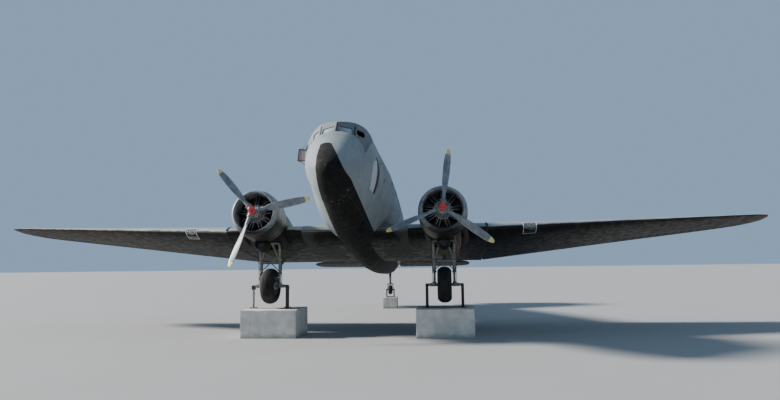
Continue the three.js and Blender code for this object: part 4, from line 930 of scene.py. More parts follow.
def make_cockpit():
    """Cockpit section: the skin cut by its flat front faces, hollowed, with its window holes."""
    skin = Piece("cockpit_skin").add(fuselage_body(NOSE_END + 0.001, COCKPIT_END, step=0.035))
    skin = carve(skin.mesh_object(SKIN_FINISHES), windscreen_blocks(0))
    inside = Piece("inside").add(fuselage_body(NOSE_END - 0.05, COCKPIT_END + 0.05, -COCKPIT_WALL,
                                               sides=72), 1)
    blocks = [(b, 1) for b in windscreen_blocks(COCKPIT_WALL)]
    holes = [carve(inside.mesh_object(SKIN_FINISHES), blocks)]
    for side in (PORT, STARBOARD):
        for face, outline in (FRONT_FACE, PANE), (CORNER_FACE, rounded(CORNER_WINDOW, 0.03)):
            holes.append(mirror(prism(face_points(face, outline, -0.15), 0.3 * face_out(face)), side))
        holes.append(side_prism(rounded(SIDE_WINDOW, 0.05), side=side))
    return carve(skin, holes)


def make_fuselage():
    """The five skins, each replacing its node."""
    nose, tail = Piece("nose_skin"), Piece("tail_skin")
    nose.add(fuselage_body(0, NOSE_END)).build("airframe", AIRFRAME_PAINT, "airframe_paint",
                                               "fuselage_nose", 40)
    finish_piece(make_cockpit(), "airframe", SKIN_FINISHES, "fuselage_cockpit", 30)
    for name, start, end, door in [("cabin_front", COCKPIT_END, FRONT_END, CREW_DOOR),
                                   ("cabin_rear", FRONT_END, CABIN_END, CARGO_DOOR)]:
        cutters = [side_prism(door_outline(door)), *(window_cutter(*w) for w in windows(start, end))]
        finish_piece(fuselage_skin(f"{name}_skin", start, end, cutters), "airframe", SKIN_FINISHES,
                     f"fuselage_{name}", 35)
    tail.add(fuselage_body(CABIN_END, TAIL_END))
    tail.build("airframe", AIRFRAME_PAINT, "airframe_paint", "fuselage_tail", 40)


make_fuselage()

# Wings

CAMBER = 0.02
# Lateral place, leading and trailing edge, their heights, thickness as a share of the chord
WING = [(0, 4.56, 8.98, -0.25, -0.42, 0.14), (4.17, 4.56, 8.98, -0.25, -0.42, 0.14),
        (9.0, 6.054, 8.975, 0.265, 0.165, 0.11), (13.2, 7.353, 8.96, 0.715, 0.67, 0.08),
        (13.85, 7.62, 8.9, 0.795, 0.765, 0.075), (14.18, 7.86, 8.77, 0.84, 0.82, 0.07),
        (14.34, 8.08, 8.62, 0.865, 0.85, 0.065), (14.4, 8.26, 8.45, 0.875, 0.87, 0.06)]
TAILPLANE = [(0.02, 15.6, 18.33, 1.05, 1.05, 0.1), (3.32, 16.65, 18.26, 1.05, 1.05, 0.09),
             (3.8, 16.88, 18.13, 1.05, 1.05, 0.085), (4.01, 17.12, 17.94, 1.05, 1.05, 0.08),
             (4.085, 17.35, 17.7, 1.05, 1.05, 0.07)]
FIN = [(1.3, 14.3, 19.33, 0, 0, 0.06), (1.85, 15.2, 19.553, 0, 0, 0.075), (2.6, 15.9, 19.643, 0, 0, 0.08),
       (3.5, 16.42, 19.553, 0, 0, 0.08), (4.15, 16.83, 19.265, 0, 0, 0.08),
       (4.52, 17.2, 18.93, 0, 0, 0.075), (4.7, 17.6, 18.56, 0, 0, 0.07), (4.746, 17.85, 18.3, 0, 0, 0.06)]
WING_ROWS = np.concatenate([np.array(WING[:2]), smooth_rows(WING[2:])])
TAILPLANE_ROWS = np.concatenate([np.array(TAILPLANE[:1]), smooth_rows(TAILPLANE[1:])])
FIN_ROWS = smooth_rows(FIN)
WING_JOINT = 4.17


def camber_line(share, camber):
    """Height of the middle line in chords: two parabolas that meet at 0.4 of the chord."""
    peak = 0.4
    front = camber * (2 * peak * share - share**2) / peak**2
    back = camber * (1 - 2 * peak + 2 * peak * share - share**2) / (1 - peak) ** 2
    return np.where(share < peak, front, back)


def half_thickness(share, thick):
    """Half thickness in chords: the usual root and four powers of the share of the chord."""
    return 5 * thick * (0.2969 * np.sqrt(share) - 0.126 * share - 0.3516 * share**2
                        + 0.2843 * share**3 - 0.1015 * share**4)


def wing_point(rows, x, share, side, camber=CAMBER, out=0.0):
    """Place on the upper (side 1), middle (0) or lower (-1) surface, moved up or down by "out"."""
    x, share = np.broadcast_arrays(np.asarray(x, float), np.asarray(share, float))
    le, te, le_z, te_z, thick = columns_at(rows, x)
    chord = te - le
    height = (camber_line(share, camber) + side * half_thickness(share, thick)) * chord
    return np.stack([x, le + share * chord, le_z + share * (te_z - le_z) + height + side * out], -1)


def wing_ring(steps=30):
    """Shares of the chord and sides once round an aerofoil, over the top from the trailing edge to the
    nose and back underneath, crowded toward both."""
    shares = (1 - np.cos(np.linspace(0, math.pi, steps))) / 2
    return (np.concatenate([shares[::-1], shares[1:], shares[-1:]]),
            np.concatenate([np.ones(steps), -np.ones(steps - 1), [1]]))


def wing_body(rows, spans, camber=CAMBER, upright=False):
    """Closed aerofoil body. Its metres are the way from the nose, negative underneath, and the span."""
    share, side = wing_ring()
    spans = np.asarray(spans, float)
    points = wing_point(rows, spans[:, None], share, side, camber)
    chord = np.subtract(*columns_at(rows, spans)[1::-1])
    around = share * np.repeat([1, -1], len(share) // 2)
    uv = np.stack(np.broadcast_arrays(around * chord[:, None], spans[:, None]), -1)
    return ended(points[..., [2, 1, 0]] if upright else points, uv)


def span_places(rows, start, end, step):
    """Even places along the span, with the table's own rows among them, and crowded toward a tip."""
    even = np.linspace(start, end, int((end - start) / step) + 2)
    rows = np.asarray(rows)[:, 0]
    tip = end - (end - start) * np.linspace(0, 1, 12) ** 2 * 0.12
    return np.unique(np.round(np.concatenate([even, rows[(rows > start) & (rows < end)], tip]), 4))


PLAY = 0.008
FLAP_SHARE, FLAP_THICK = 0.8, 0.024
INNER_FLAP, OUTER_FLAP = (0.62, 3.9), (4.26, 8.9)
AILERON, AILERON_SHARE = (9.15, 13.2), 0.74
WING_FINISHES = [WING_PAINT, CABIN_TRIM]
LAMP_X, LAMP_HALF, LAMP_HIGH, LAMP_DEPTH = 5.55, 0.215, 0.115, 0.22


def flap_axes(span):
    """Hinge ends on the lower surface, the direction aft along it, its reach and its length."""
    a, b = (wing_point(WING_ROWS, x, FLAP_SHARE, -1) for x in span)
    aft = wing_point(WING_ROWS, span[0], 1.0, -1) - a
    return a, b, aft, np.linalg.norm(aft), np.linalg.norm(b - a)


def flap_recess(span):
    """Room of a split flap under the wing."""
    a, b, aft, reach, length = flap_axes(span)
    return aligned_block(a, b, aft, (0, -0.024, -0.16), (length, reach + 0.08, FLAP_THICK + PLAY))


def make_flap(name, span, side):
    """Split flap: the wing's lower skin behind the hinge, with pockets between its ribs inside."""
    a, b, aft, reach, length = flap_axes(span)
    flap = Piece(name,
                 side).add(wing_body(WING_ROWS, span_places(WING, *span, 0.4))).mesh_object(WING_FINISHES)
    plate = aligned_block(a, b, aft, (PLAY, 0, -0.12), (length - PLAY, reach + 0.06, FLAP_THICK))
    carve(flap, [plate], "INTERSECT", side)
    ribs = np.linspace(PLAY, length - PLAY, int(length / 0.33))
    pockets = []
    for low, high in zip(ribs[:-1], ribs[1:]):
        pocket = aligned_block(a, b, aft, (low + 0.012, 0.03, 0.007), (high - 0.012, reach * 0.55, 0.1))
        pockets.append((pocket, 1))
    carve(flap, pockets, side=side)
    finish_piece(flap, name, WING_FINISHES, name, 35)


def rib_tapes(piece, rows, places, start_share, camber, upright=False):
    """Doped tapes over the ribs: low strips along the chord on both surfaces."""
    share = np.linspace(start_share, 0.985, 9)
    axes = [2, 1, 0] if upright else [0, 1, 2]
    profile = [(-0.016, -0.004), (0.016, -0.004), (0.011, 0.0035), (-0.011, 0.0035)]
    for face in (1, -1):
        for x in places:
            path = wing_point(rows, x, share, face, camber)[..., axes]
            piece.add(sweep(path, np.array(ASIDE)[axes], face * np.array(UP)[axes], profile))


def control_surface(name, rows, table, span, a, b, radii, side, camber, hinge_share):
    """A fabric-covered control surface behind its hinge line, with a round nose and rib tapes."""
    spans = span_places(table, span[0] - 0.1, span[1] + 0.1, 0.25)
    blade = Piece(f"{name}_blade", side).add(wing_body(rows, spans, camber)).mesh_object()
    room = aligned_block(a, b, AFT, (PLAY, 0, -0.4), (np.linalg.norm(b - a) - PLAY, 1.6, 0.4))
    carve(blade, [room], "INTERSECT", side)
    gap = unit(b - a) * PLAY
    trim = Piece(f"{name}_nose", side).add(bar(a + gap, b - gap, radii[0], 28, radii[1]))
    rib_tapes(trim, rows, np.arange(span[0] + 0.15, span[1] - 0.05, 0.3), hinge_share, camber)
    finish_piece(blade, name, ELEVATOR_PAINT, sharp=35)
    trim.build(name, FABRIC_PAINT, "wing_paint", sharp=35)
    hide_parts(name)


def make_outer_wing(word, side):
    """Outer wing with recesses for its flap, aileron and landing lamp."""
    spans = span_places(WING, WING_JOINT + 0.0003, WING[-1][0], 0.3)
    wing = Piece(f"wing_{word}_skin", side).add(wing_body(WING_ROWS, spans)).mesh_object(WING_FINISHES)
    a, b = wing_point(WING_ROWS, AILERON, AILERON_SHARE, 0)
    halves = np.linalg.norm(wing_point(WING_ROWS, AILERON, AILERON_SHARE, 1) - [a, b], axis=1)
    radii = halves - [0.004, 0.003]
    aileron_room = aligned_block(a, b, AFT, (0, -radii[0] - PLAY, -0.4), (np.linalg.norm(b - a), 1.6, 0.4))
    nose = wing_point(WING_ROWS, LAMP_X, 0.0, 0)
    opening = rounded_box((LAMP_X - LAMP_HALF, nose[2] - LAMP_HIGH),
                          (LAMP_X + LAMP_HALF, nose[2] + LAMP_HIGH), 0.05)
    lamp_room = prism([(x, nose[1] - 0.2, z) for x, z in opening], (0, 0.2 + LAMP_DEPTH, 0))
    carve(wing, [(flap_recess(OUTER_FLAP), 1), aileron_room, (lamp_room, 1)], side=side)
    finish_piece(wing, "airframe", WING_FINISHES, f"wing_{word}", 35)
    control_surface(f"aileron_{word}", WING_ROWS, WING, AILERON, a, b, radii, side, CAMBER,
                    AILERON_SHARE + 0.015)
    make_lamp(word, side, nose)


def make_lamp(word, side, nose):
    """Landing lamp: a polished bowl with a bulb and bezel in the recess, behind a curved clear cover."""
    lamp = Piece(f"landing_lamp_{word}", side)
    middle = nose + [0, 0.13, 0]
    bowl = [(0.0, 0.075), (0.05, 0.062), (0.08, 0.03), (0.092, -0.02), (0.098, -0.02), (0.098, 0.03),
            (0.06, 0.09), (0.0, 0.1)]
    lamp.add(lathe(bowl, middle, AFT, 40), 0)
    lamp.add(lathe([(0.0, -0.01), (0.016, 0.0), (0.02, 0.03), (0.012, 0.07), (0, 0.075)], middle, AFT, 20),
             1)
    ring = [(0.09, -0.032), (0.104, -0.03), (0.106, -0.008), (0.094, -0.012), (0.09, -0.032)]
    lamp.add(lathe(ring, middle, AFT, 40), 1)
    lamp.add(block(middle + [-0.13, 0.06, -0.012], middle + [0.13, 0.09, 0.012]), 1)
    lamp.build("airframe", [REFLECTOR, RIM_PAINT], "rim_metal")
    share = np.linspace(0.0, 0.05, 12)
    share, face = np.concatenate([share[:0:-1], share]), np.repeat([1, -1], [11, 12])
    x = np.linspace(LAMP_X - LAMP_HALF + 0.002, LAMP_X + LAMP_HALF - 0.002, 8)
    outer = wing_point(WING_ROWS, x[:, None], share, face)
    keep = np.abs(outer[0, :, 2] - nose[2]) < LAMP_HIGH - 0.004
    outer = outer[:, keep] + [0, 0.003, 0]
    shell = np.concatenate([outer, (outer + [0, 0.004, 0])[:, ::-1], outer[:, :1]], 1)
    Piece(f"lamp_cover_{word}", side).add(ended(shell)).build("airframe", LAMP_GLASS, "glass")


# Lift of the fillet's trailing end at each distance from the middle
FILLET = [(0.7, 0.62), (1.13, 0.42), (1.27, 0.2), (1.45, 0.07), (1.7, 0.0)]


def make_centre_wing():
    """Centre wing, with a fillet each side: the wing's own section, its upper surface lifted and its
    length grown toward the tail by a rise that fades outward."""
    half = wing_body(WING_ROWS, np.linspace(0, WING_JOINT, 16))
    wing = Piece("centre_wing_skin").add(half).add(mirror(half, STARBOARD)).mesh_object(WING_FINISHES, 1e-6)
    carve(wing, [(mirror(flap_recess(INNER_FLAP), side), 1) for side in (PORT, STARBOARD)])
    finish_piece(wing, "airframe", WING_FINISHES, "wing_centre", 35)
    x = np.linspace(0.72, 1.7, 26)
    share, face = wing_ring(34)
    rise = np.clip(columns_at(smooth_rows(FILLET, 200), x)[0], 0, None)[:, None]
    points = wing_point(WING_ROWS, x[:, None], share, face)
    points[..., 1] += share * rise
    points[..., 2] += np.where(face > 0, rise * share, 0) + np.where(face > 0, 0.004, -0.001)
    hinge_y = flap_axes(INNER_FLAP)[0][1]
    for word, side in SIDES.items():
        fillet = Piece(f"wing_fillet_{word}", side).add(ended(points)).mesh_object()
        carve(fillet, [block((0.6, hinge_y - 0.04, -0.9), (1.8, 10, -0.24))], side=side)
        finish_piece(fillet, "airframe", AIRFRAME_PAINT, sharp=40)


make_centre_wing()
for word, side in SIDES.items():
    make_outer_wing(word, side)
    make_flap(f"flap_inner_{word}", INNER_FLAP, side)
    make_flap(f"flap_outer_{word}", OUTER_FLAP, side)

# Tail

TAIL_HINGE, ELEVATOR, ELEVATOR_RADII = 17.25, (0.43, 3.85), (0.09, 0.04)
RUDDER_HINGE, RUDDER_BOTTOM, RUDDER_HORN = 17.95, 1.55, 4.18


def make_tailplane(word, side):
    """Tailplane and elevator."""
    spans = span_places(TAILPLANE, TAILPLANE[0][0], TAILPLANE[-1][0], 0.25)
    plane = Piece(f"tailplane_{word}_skin", side).add(wing_body(TAILPLANE_ROWS, spans, 0.0)).mesh_object()
    a, b = (np.array([x, TAIL_HINGE, TAILPLANE[0][3]]) for x in ELEVATOR)
    room = aligned_block(a, b, AFT, (0, -ELEVATOR_RADII[0] - PLAY, -0.4), (b[0] - a[0], 1.6, 0.4))
    carve(plane, [room, block((-0.01, TAIL_HINGE - 0.1, 0.6), (0.431, 19, 1.5))], side=side)
    finish_piece(plane, "airframe", WING_PAINT, f"tailplane_{word}", 35)
    control_surface(f"elevator_{word}", TAILPLANE_ROWS, TAILPLANE, ELEVATOR, a, b, ELEVATOR_RADII, side, 0,
                    0.62)


def make_fin():
    """Fin, and the rudder with its horn balance."""
    whole = wing_body(FIN_ROWS, span_places(FIN, FIN[0][0], FIN[-1][0], 0.2), 0.0, upright=True)
    fin = Piece("fin_skin").add(whole).mesh_object()
    carve(fin, [block((-0.4, RUDDER_HINGE - 0.11, 0), (0.4, 19.8, 5)),
                block((-0.4, 17.28, RUDDER_HORN), (0.4, 19.8, 5))])
    finish_piece(fin, "airframe", AIRFRAME_PAINT, "fin", 35)
    rudder = Piece("rudder_blade").add(whole).mesh_object()
    keep = carve(Piece("keep").add(block((-0.4, RUDDER_HINGE, RUDDER_BOTTOM), (0.4, 19.8, 5))).mesh_object(),
                 [block((-0.4, 17.3, RUDDER_HORN + 0.02), (0.4, 19.7, 5.1))], "UNION")
    carve(rudder, [keep], "INTERSECT")
    finish_piece(rudder, "rudder", FABRIC_PAINT, "rudder", 35)
    trim = Piece("rudder_nose").add(bar((0, RUDDER_HINGE, RUDDER_BOTTOM),
                                        (0, RUDDER_HINGE, RUDDER_HORN + 0.04), 0.095, 28, 0.08))
    rib_tapes(trim, FIN_ROWS, np.arange(1.75, 4.1, 0.3), 0.62, 0, upright=True)
    trim.build("rudder", FABRIC_PAINT, "airframe_paint", sharp=35)


for word, side in SIDES.items():
    make_tailplane(word, side)
make_fin()

# Engines, cowls and nacelles, drawn round x = 0 and then set beside the fuselage

ENGINE_X, ENGINE_Y, CYLINDERS, DISC_Y, BLADES = 2.82, 3.56, 9, 2.99, 3
COWL_LINE = [(0.572, 3.23), (0.588, 3.12), (0.625, 3.09), (0.675, 3.13), (0.718, 3.26), (0.74, 3.55),
             (0.728, 4.11)]
COWL_SEAMS = (25, 145, 265)


def cowl_radius(y):
    """Outer radius of the cowl at a distance aft."""
    return np.interp(y, [3.26, 3.4, 3.55, 3.8, 4.11], [0.718, 0.733, 0.74, 0.738, 0.728])


def make_cowl(word, side):
    """Ring cowl: a rolled lip, a drum with seam straps, and toggle latches along three joints."""
    line = smooth_rows(COWL_LINE, 40)
    cowl = Piece(f"cowl_{word}_drum", side, ENGINE_X)
    front = int(np.argmax((line[:, 1] >= 3.235) & (line[:, 0] > 0.65)))
    cowl.add(lathe([(0.584, 3.3), (0.574, 3.3), *line[:front + 1], (line[front][0] - 0.012, 3.27)],
                   sides=96), 1)
    back = [*line[front:], (0.712, 4.11), (0.722, 3.55), (0.7, 3.28), tuple(line[front])]
    cowl.add(lathe(back, sides=96), 0)
    for y in (3.3, 3.62, 3.94):
        r = float(cowl_radius(y))
        strap = [(r - 0.004, y - 0.014), (r + 0.0035, y - 0.012), (r + 0.0035, y + 0.012),
                 (r - 0.004, y + 0.014), (r - 0.004, y - 0.014)]
        cowl.add(lathe(strap, sides=96), 0)
    for seam in COWL_SEAMS:
        t = math.radians(seam)
        out, across = np.array([math.cos(t), 0, math.sin(t)]), np.array([-math.sin(t), 0, math.cos(t)])
        y = np.linspace(3.27, 4.108, 9)
        path = out * cowl_radius(y)[:, None] + np.array(AFT) * y[:, None]
        cowl.add(sweep(path, across, out, [(-0.02, -0.005), (0.02, -0.005), (0.017, 0.004),
                                           (-0.017, 0.004)]), 0)
        for y0 in (3.42, 3.78, 4.04):
            at = out * (cowl_radius(y0) + 0.004) + [0, y0, 0]
            cowl.add(aligned_block(at, at + across, AFT, (-0.035, -0.012, -0.004), (0.035, 0.012, 0.009)),
                     0)
    outs = circle(48, 1, 0)
    for y in (3.3, 3.94):
        cowl.add(studs(outs * (cowl_radius(y) + 0.003) + [0, y, 0], outs, 0.006, 0.003), 0)
    cowl.build("airframe", [COWL_PAINT, COWL_LIP], "cowl_metal", f"cowl_{word}", 30)


CRANKCASE = [(0, 3.06), (0.06, 3.062), (0.075, 3.075), (0.082, 3.125), (0.11, 3.14), (0.15, 3.165),
             (0.185, 3.22), (0.222, 3.285), (0.232, 3.29), (0.236, 3.31), (0.262, 3.37), (0.275, 3.4),
             (0.285, 3.46), (0.285, 3.7), (0.3, 3.71), (0.4, 3.74), (0.52, 3.8), (0.52, 3.86), (0.5, 3.88),
             (0.5, 3.995), (0, 3.995)]


def finned_barrel():
    """Cylinder profile, radius and height from the crankshaft: flange, deep thin fins up the barrel, then
    a wider finned head that rounds off at the top."""
    line = [(0.0, 0.26), (0.098, 0.26), (0.098, 0.282), (0.07, 0.284)]
    for z in np.arange(0.292, 0.42, 0.0125):
        line += [(0.066, z), (0.084, z + 0.001), (0.084, z + 0.004), (0.066, z + 0.005)]
    for k, z in enumerate(np.arange(0.425, 0.62, 0.0165)):
        wide = 0.092 - 0.0022 * max(0, k - 6) ** 1.5
        line += [(wide - 0.026, z), (wide, z + 0.0015), (wide, z + 0.0055), (wide - 0.026, z + 0.007)]
    return [*line, (0.045, 0.632), (0.03, 0.642), (0.0, 0.645)]


def make_engine(word, side):
    """Nine-cylinder radial engine: crankcase with its bolts, finned cylinders, rocker boxes, pushrod
    tubes, intake pipes, the ignition ring and its leads."""
    metal = Piece(f"engine_{word}_case", side, ENGINE_X)
    metal.add(lathe(CRANKCASE, sides=64), 0)
    barrel, ahead = finned_barrel(), np.array([0, -1.0, 0])
    metal.add(lathe(hoop(0.262, 3.325, 0.014, 0.014, 10), sides=64), 2)
    for count, radius, y, size in [(18, 0.205, 3.235, 0.009), (18, 0.268, 3.385, 0.009),
                                   (12, 0.066, 3.06, 0.007)]:
        metal.add(studs(circle(count, radius, y), [(0, -1, 0)], size, 0.012), 2)
    for k in range(CYLINDERS):
        t = 2 * math.pi * k / CYLINDERS
        out, across = np.array([math.sin(t), 0, math.cos(t)]), np.array([math.cos(t), 0, -math.sin(t)])

        def spot(r, a=0.0, y=ENGINE_Y):
            """Place at a distance out along the cylinder, across it, and aft."""
            return out * r + across * a + [0, y, 0]

        metal.add(lathe(barrel, (0, ENGINE_Y, 0), out, 22), 1)
        for s in (-1, 1):
            foot, head = spot(0.262, s * 0.035, 3.36), spot(0.6, s * 0.052, 3.465)
            metal.add(bar(foot, head, 0.0105, 10), 2)
            box = rounded_box((-0.034, -0.055), (0.034, 0.055), 0.02, 4)
            base = spot(0.603, s * 0.055, 3.512)
            metal.add(prism([base + across * a + ahead * b for a, b in box], out * 0.042), 0)
            metal.add(studs([base + out * 0.042 + ahead * d for d in (-0.035, 0.035)], [out], 0.008, 0.008),
                      2)
            plug = spot(0.575, s * 0.02, ENGINE_Y - 0.088)
            metal.add(bar(plug, plug + ahead * 0.045 + out * 0.01, 0.009, 8), 2)
        lead = np.array([spot(0.276, 0.06, 3.325), spot(0.38, 0.085, 3.33), spot(0.5, 0.06, 3.36),
                         spot(0.582, 0.02, 3.425)])
        metal.add(tube(smooth_rows(lead, 12), 0.0055, 8), 3)
        intake = np.array([spot(0.42, 0.06, 3.77), spot(0.5, 0.075, 3.74), spot(0.57, 0.06, 3.69),
                           spot(0.6, 0.03, 3.62)])
        metal.add(tube(smooth_rows(intake, 10), 0.03, 12), 2)
        flange = np.radians(np.arange(0, 360, 45))
        feet = spot(0.282) + 0.089 * (np.cos(flange)[:, None] * across + np.sin(flange)[:, None] * ahead)
        metal.add(studs(feet, [out], 0.007, 0.01), 2)
    metal.add(lathe([(0.27, 3.665), (0.63, 3.64), (0.635, 3.66), (0.27, 3.685), (0.27, 3.665)], sides=72),
              1)
    for y in (3.82, 3.88):
        metal.add(lathe(hoop(0.5, y, 0.03, 0.03, 8), sides=48), 1)
    metal.build("airframe", [CASE_METAL, FIN_METAL, ROD_METAL, COPPER], "engine_metal", f"engine_{word}", 32)


BLADE = [(0.09, 0.12, 0.12, 60), (0.2, 0.118, 0.116, 60), (0.3, 0.12, 0.11, 60), (0.48, 0.19, 0.08, 52),
         (0.85, 0.24, 0.044, 38), (1.25, 0.235, 0.028, 27), (1.58, 0.185, 0.018, 21), (1.72, 0.12, 0.013, 19),
         (1.765, 0.07, 0.01, 18.2), (1.78, 0.02, 0.006, 18)]
FIRST_BLADE = {"port": 83.2, "starboard": 11.2}


def blade_surface():
    """One blade along z: an ellipse at each radius, its chord turned by the blade angle, from a round
    root to a thin tip. Its metres are the way from the leading edge, and the radius."""
    rows = smooth_rows(BLADE, 60)
    r, chord, thick, angle = (rows[:, k][:, None] for k in range(4))
    turn = ring_turns(28)[None, :]
    u, v = np.cos(turn) * chord / 2, np.sin(turn) * thick / 2
    a = np.radians(angle)
    points = np.stack([u * np.cos(a) - v * np.sin(a), u * np.sin(a) + v * np.cos(a), r + 0 * u], -1)
    return ended(points, np.stack([chord / 2 - u, r + 0 * u], -1))


def make_propeller(word, side):
    """Three-blade propeller: blades, hub barrel with a split clamp and two bolts on each root, and the
    domed spinner on its own ring."""
    blades = Piece(f"propeller_{word}_blades")
    hub = Piece(f"propeller_{word}_hub")
    place = np.array([side * ENGINE_X, DISC_Y, 0])
    barrel = [(0, -0.095), (0.075, -0.095), (0.09, -0.09), (0.112, -0.065), (0.12, -0.04), (0.12, 0.03),
              (0.105, 0.052), (0.075, 0.066), (0, 0.066)]
    hub.add(lathe(barrel, place, sides=40), 2)
    for k in range(BLADES):
        t = math.radians(90 - FIRST_BLADE[word] - 360 * k / BLADES)
        turn = np.array([[math.cos(t), 0, math.sin(t)], [0, 1, 0], [-math.sin(t), 0, math.cos(t)]])
        points, faces, uv = blade_surface()
        blades.add((points @ turn.T + place, faces, uv))
        out, across = turn @ UP, turn @ ASIDE
        collar = [(0.066, 0.1), (0.082, 0.102), (0.086, 0.125), (0.086, 0.15), (0.079, 0.158), (0.079, 0.178),
                  (0.086, 0.186), (0.086, 0.212), (0.07, 0.222), (0.062, 0.222), (0.062, 0.1), (0.066, 0.1)]
        hub.add(lathe(collar, place, out, 36), 0)
        for s in (-1, 1):
            for r in (0.137, 0.198):
                at, reach = place + out * r + across * s * 0.09, np.array([0, 0.035, 0])
                hub.add(bar(at - reach, at + reach, 0.0125, 12), 1)
                hub.add(studs([at - reach], [(0, -1, 0)], 0.016, 0.012), 1)
    blades.build(f"propeller_{word}", BLADE_PAINT, "blade_paint", f"propeller_{word}", 50)
    hub.build(f"propeller_{word}", [GEAR_PAINT, ROD_METAL, DOME_PAINT], "engine_metal", sharp=32)
    line = smooth_rows([(0, -0.255), (0.038, -0.25), (0.066, -0.225), (0.078, -0.18), (0.079, -0.125)], 22)
    dome = Piece(f"propeller_dome_{word}_cap")
    dome.add(lathe([(0.0, -0.255), *line[1:], (0.079, -0.12), (0.06, -0.12), (0, -0.12)], place, sides=48),
             0)
    base = [(0, -0.125), (0.083, -0.125), (0.09, -0.118), (0.09, -0.1), (0.084, -0.096), (0, -0.096)]
    dome.add(lathe(base, place, sides=48), 0)
    dome.add(studs(place + circle(8, 0.086, -0.122), [(0, -1, 0)], 0.006, 0.005), 1)
    dome.build(f"propeller_{word}", [DOME_PAINT, ROD_METAL], "dome_paint", f"propeller_dome_{word}", 32)


NACELLE = [(4.16, 0.63, 0.63, -0.64), (4.7, 0.65, 0.61, -0.79), (5.5, 0.62, 0.54, -0.83),
           (6.5, 0.53, 0.42, -0.79), (7.5, 0.38, 0.22, -0.68), (8.3, 0.21, -0.02, -0.56),
           (8.8, 0.07, -0.23, -0.46)]
BAY_HALF, BAY_START, BAY_END, BAY_ROOF = 0.41, 4.33, 6.05, -0.06


def round_body(rows, y, sides=64):
    """Body of rings with rounded-square sections between a top and a bottom, closed at its ends."""
    half, top, bottom = (c[:, None] for c in columns_at(rows, y))
    turn = ring_turns(sides)[None, :]
    across = np.sign(np.cos(turn)) * np.abs(np.cos(turn)) ** 0.92
    rise = np.sign(np.sin(turn)) * np.abs(np.sin(turn)) ** 0.92
    points = np.stack([half * across, y[:, None] + 0 * across, (top + bottom) / 2 + (top - bottom) / 2
                       * rise], -1)
    return ended(points, np.stack(np.broadcast_arrays(turn * 0.64, y[:, None]), -1))


SCOOP = [(3.96, 0.19, -0.64, -0.96), (4.1, 0.208, -0.56, -0.985), (4.25, 0.215, -0.5, -1.0),
         (4.7, 0.2, -0.5, -0.9), (4.9, 0.17, -0.5, -0.83)]
SCOOP_HOLE = [(3.9, 0.16, -0.68, -0.93), (4.25, 0.18, -0.69, -0.95)]


def make_nacelle(word, side):
    """Nacelle body with its wheel bay cut open, firewall, oil-cooler scoop with a matrix inside."""
    skin = Piece(f"nacelle_{word}_skin", side, ENGINE_X).add(round_body(smooth_rows(NACELLE),
                                                                        np.linspace(4.16, 8.8, 56)))
    skin = skin.mesh_object([NACELLE_PAINT, CABIN_TRIM])
    hinge_y = flap_axes(INNER_FLAP)[0][1]
    bay = rounded_box((-BAY_HALF, BAY_START), (BAY_HALF, BAY_END), 0.09)
    bay = prism([(x, y, -1.5) for x, y in bay], (0, 0, 1.5 + BAY_ROOF))
    room = block((1.5 - ENGINE_X, hinge_y - 0.04, -1.2), (WING_JOINT - ENGINE_X, 10, -0.3))
    hole = round_body(smooth_rows(SCOOP_HOLE, 20), np.linspace(3.9, 4.25, 5), 40)
    carve(skin, [(bay, 1), room, (hole, 1)], side=side, aside=ENGINE_X)
    finish_piece(skin, "airframe", [NACELLE_PAINT, CABIN_TRIM], f"nacelle_{word}", 35)
    scoop = Piece(f"oil_scoop_{word}", side, ENGINE_X).add(round_body(smooth_rows(SCOOP, 60),
                                                                      np.linspace(3.96, 4.9, 22), 48))
    scoop = scoop.mesh_object([NACELLE_PAINT, FIN_METAL])
    cowl_room = lathe([(0, 3.0), (0.752, 3.0), (0.752, 4.122), (0, 4.122)], sides=96)
    carve(scoop, [(hole, 1), cowl_room, bay], side=side, aside=ENGINE_X)
    finish_piece(scoop, "airframe", [NACELLE_PAINT, FIN_METAL], sharp=35)
    inner = Piece(f"nacelle_{word}_fittings", side, ENGINE_X)
    inner.add(lathe([(0, 4.0), (0.5, 4.0), (0.52, 4.01), (0.6, 4.1), (0.6, 4.2), (0, 4.2)], sides=64), 0)
    for z in np.arange(-0.92, -0.69, 0.028):
        inner.add(block((-0.165, 4.16, z), (0.165, 4.2, z + 0.006)), 1)
    for x in np.arange(-0.15, 0.16, 0.03):
        inner.add(block((x - 0.002, 4.15, -0.94), (x + 0.002, 4.2, -0.69)), 1)
    for y in np.arange(BAY_START + 0.2, BAY_END - 0.1, 0.27):
        for s in (-1, 1):
            wall = s * (BAY_HALF - 0.012)
            inner.add(block((min(wall, s * BAY_HALF), y - 0.016, -0.72),
                            (max(wall, s * BAY_HALF), y + 0.016, BAY_ROOF)), 0)
        inner.add(block((-BAY_HALF, y - 0.016, BAY_ROOF - 0.03), (BAY_HALF, y + 0.016, BAY_ROOF)), 0)
    inner.build("airframe", [CABIN_TRIM, ROD_METAL], "airframe_paint", bevel=0.0)


for word, side in SIDES.items():
    make_cowl(word, side)
    make_engine(word, side)
    make_propeller(word, side)
    make_nacelle(word, side)

# Main landing gear, drawn round the middle of the axle

AXLE_HALF, AXLE_RADIUS, LEG_X = 0.6, 0.042, 0.315
# Cross bars of the two legs, as (distance aft, height): the truss at their head, the pivot in the bay
TRUSS, PIVOT = (-0.13, 0.75), (-0.42, 1.33)


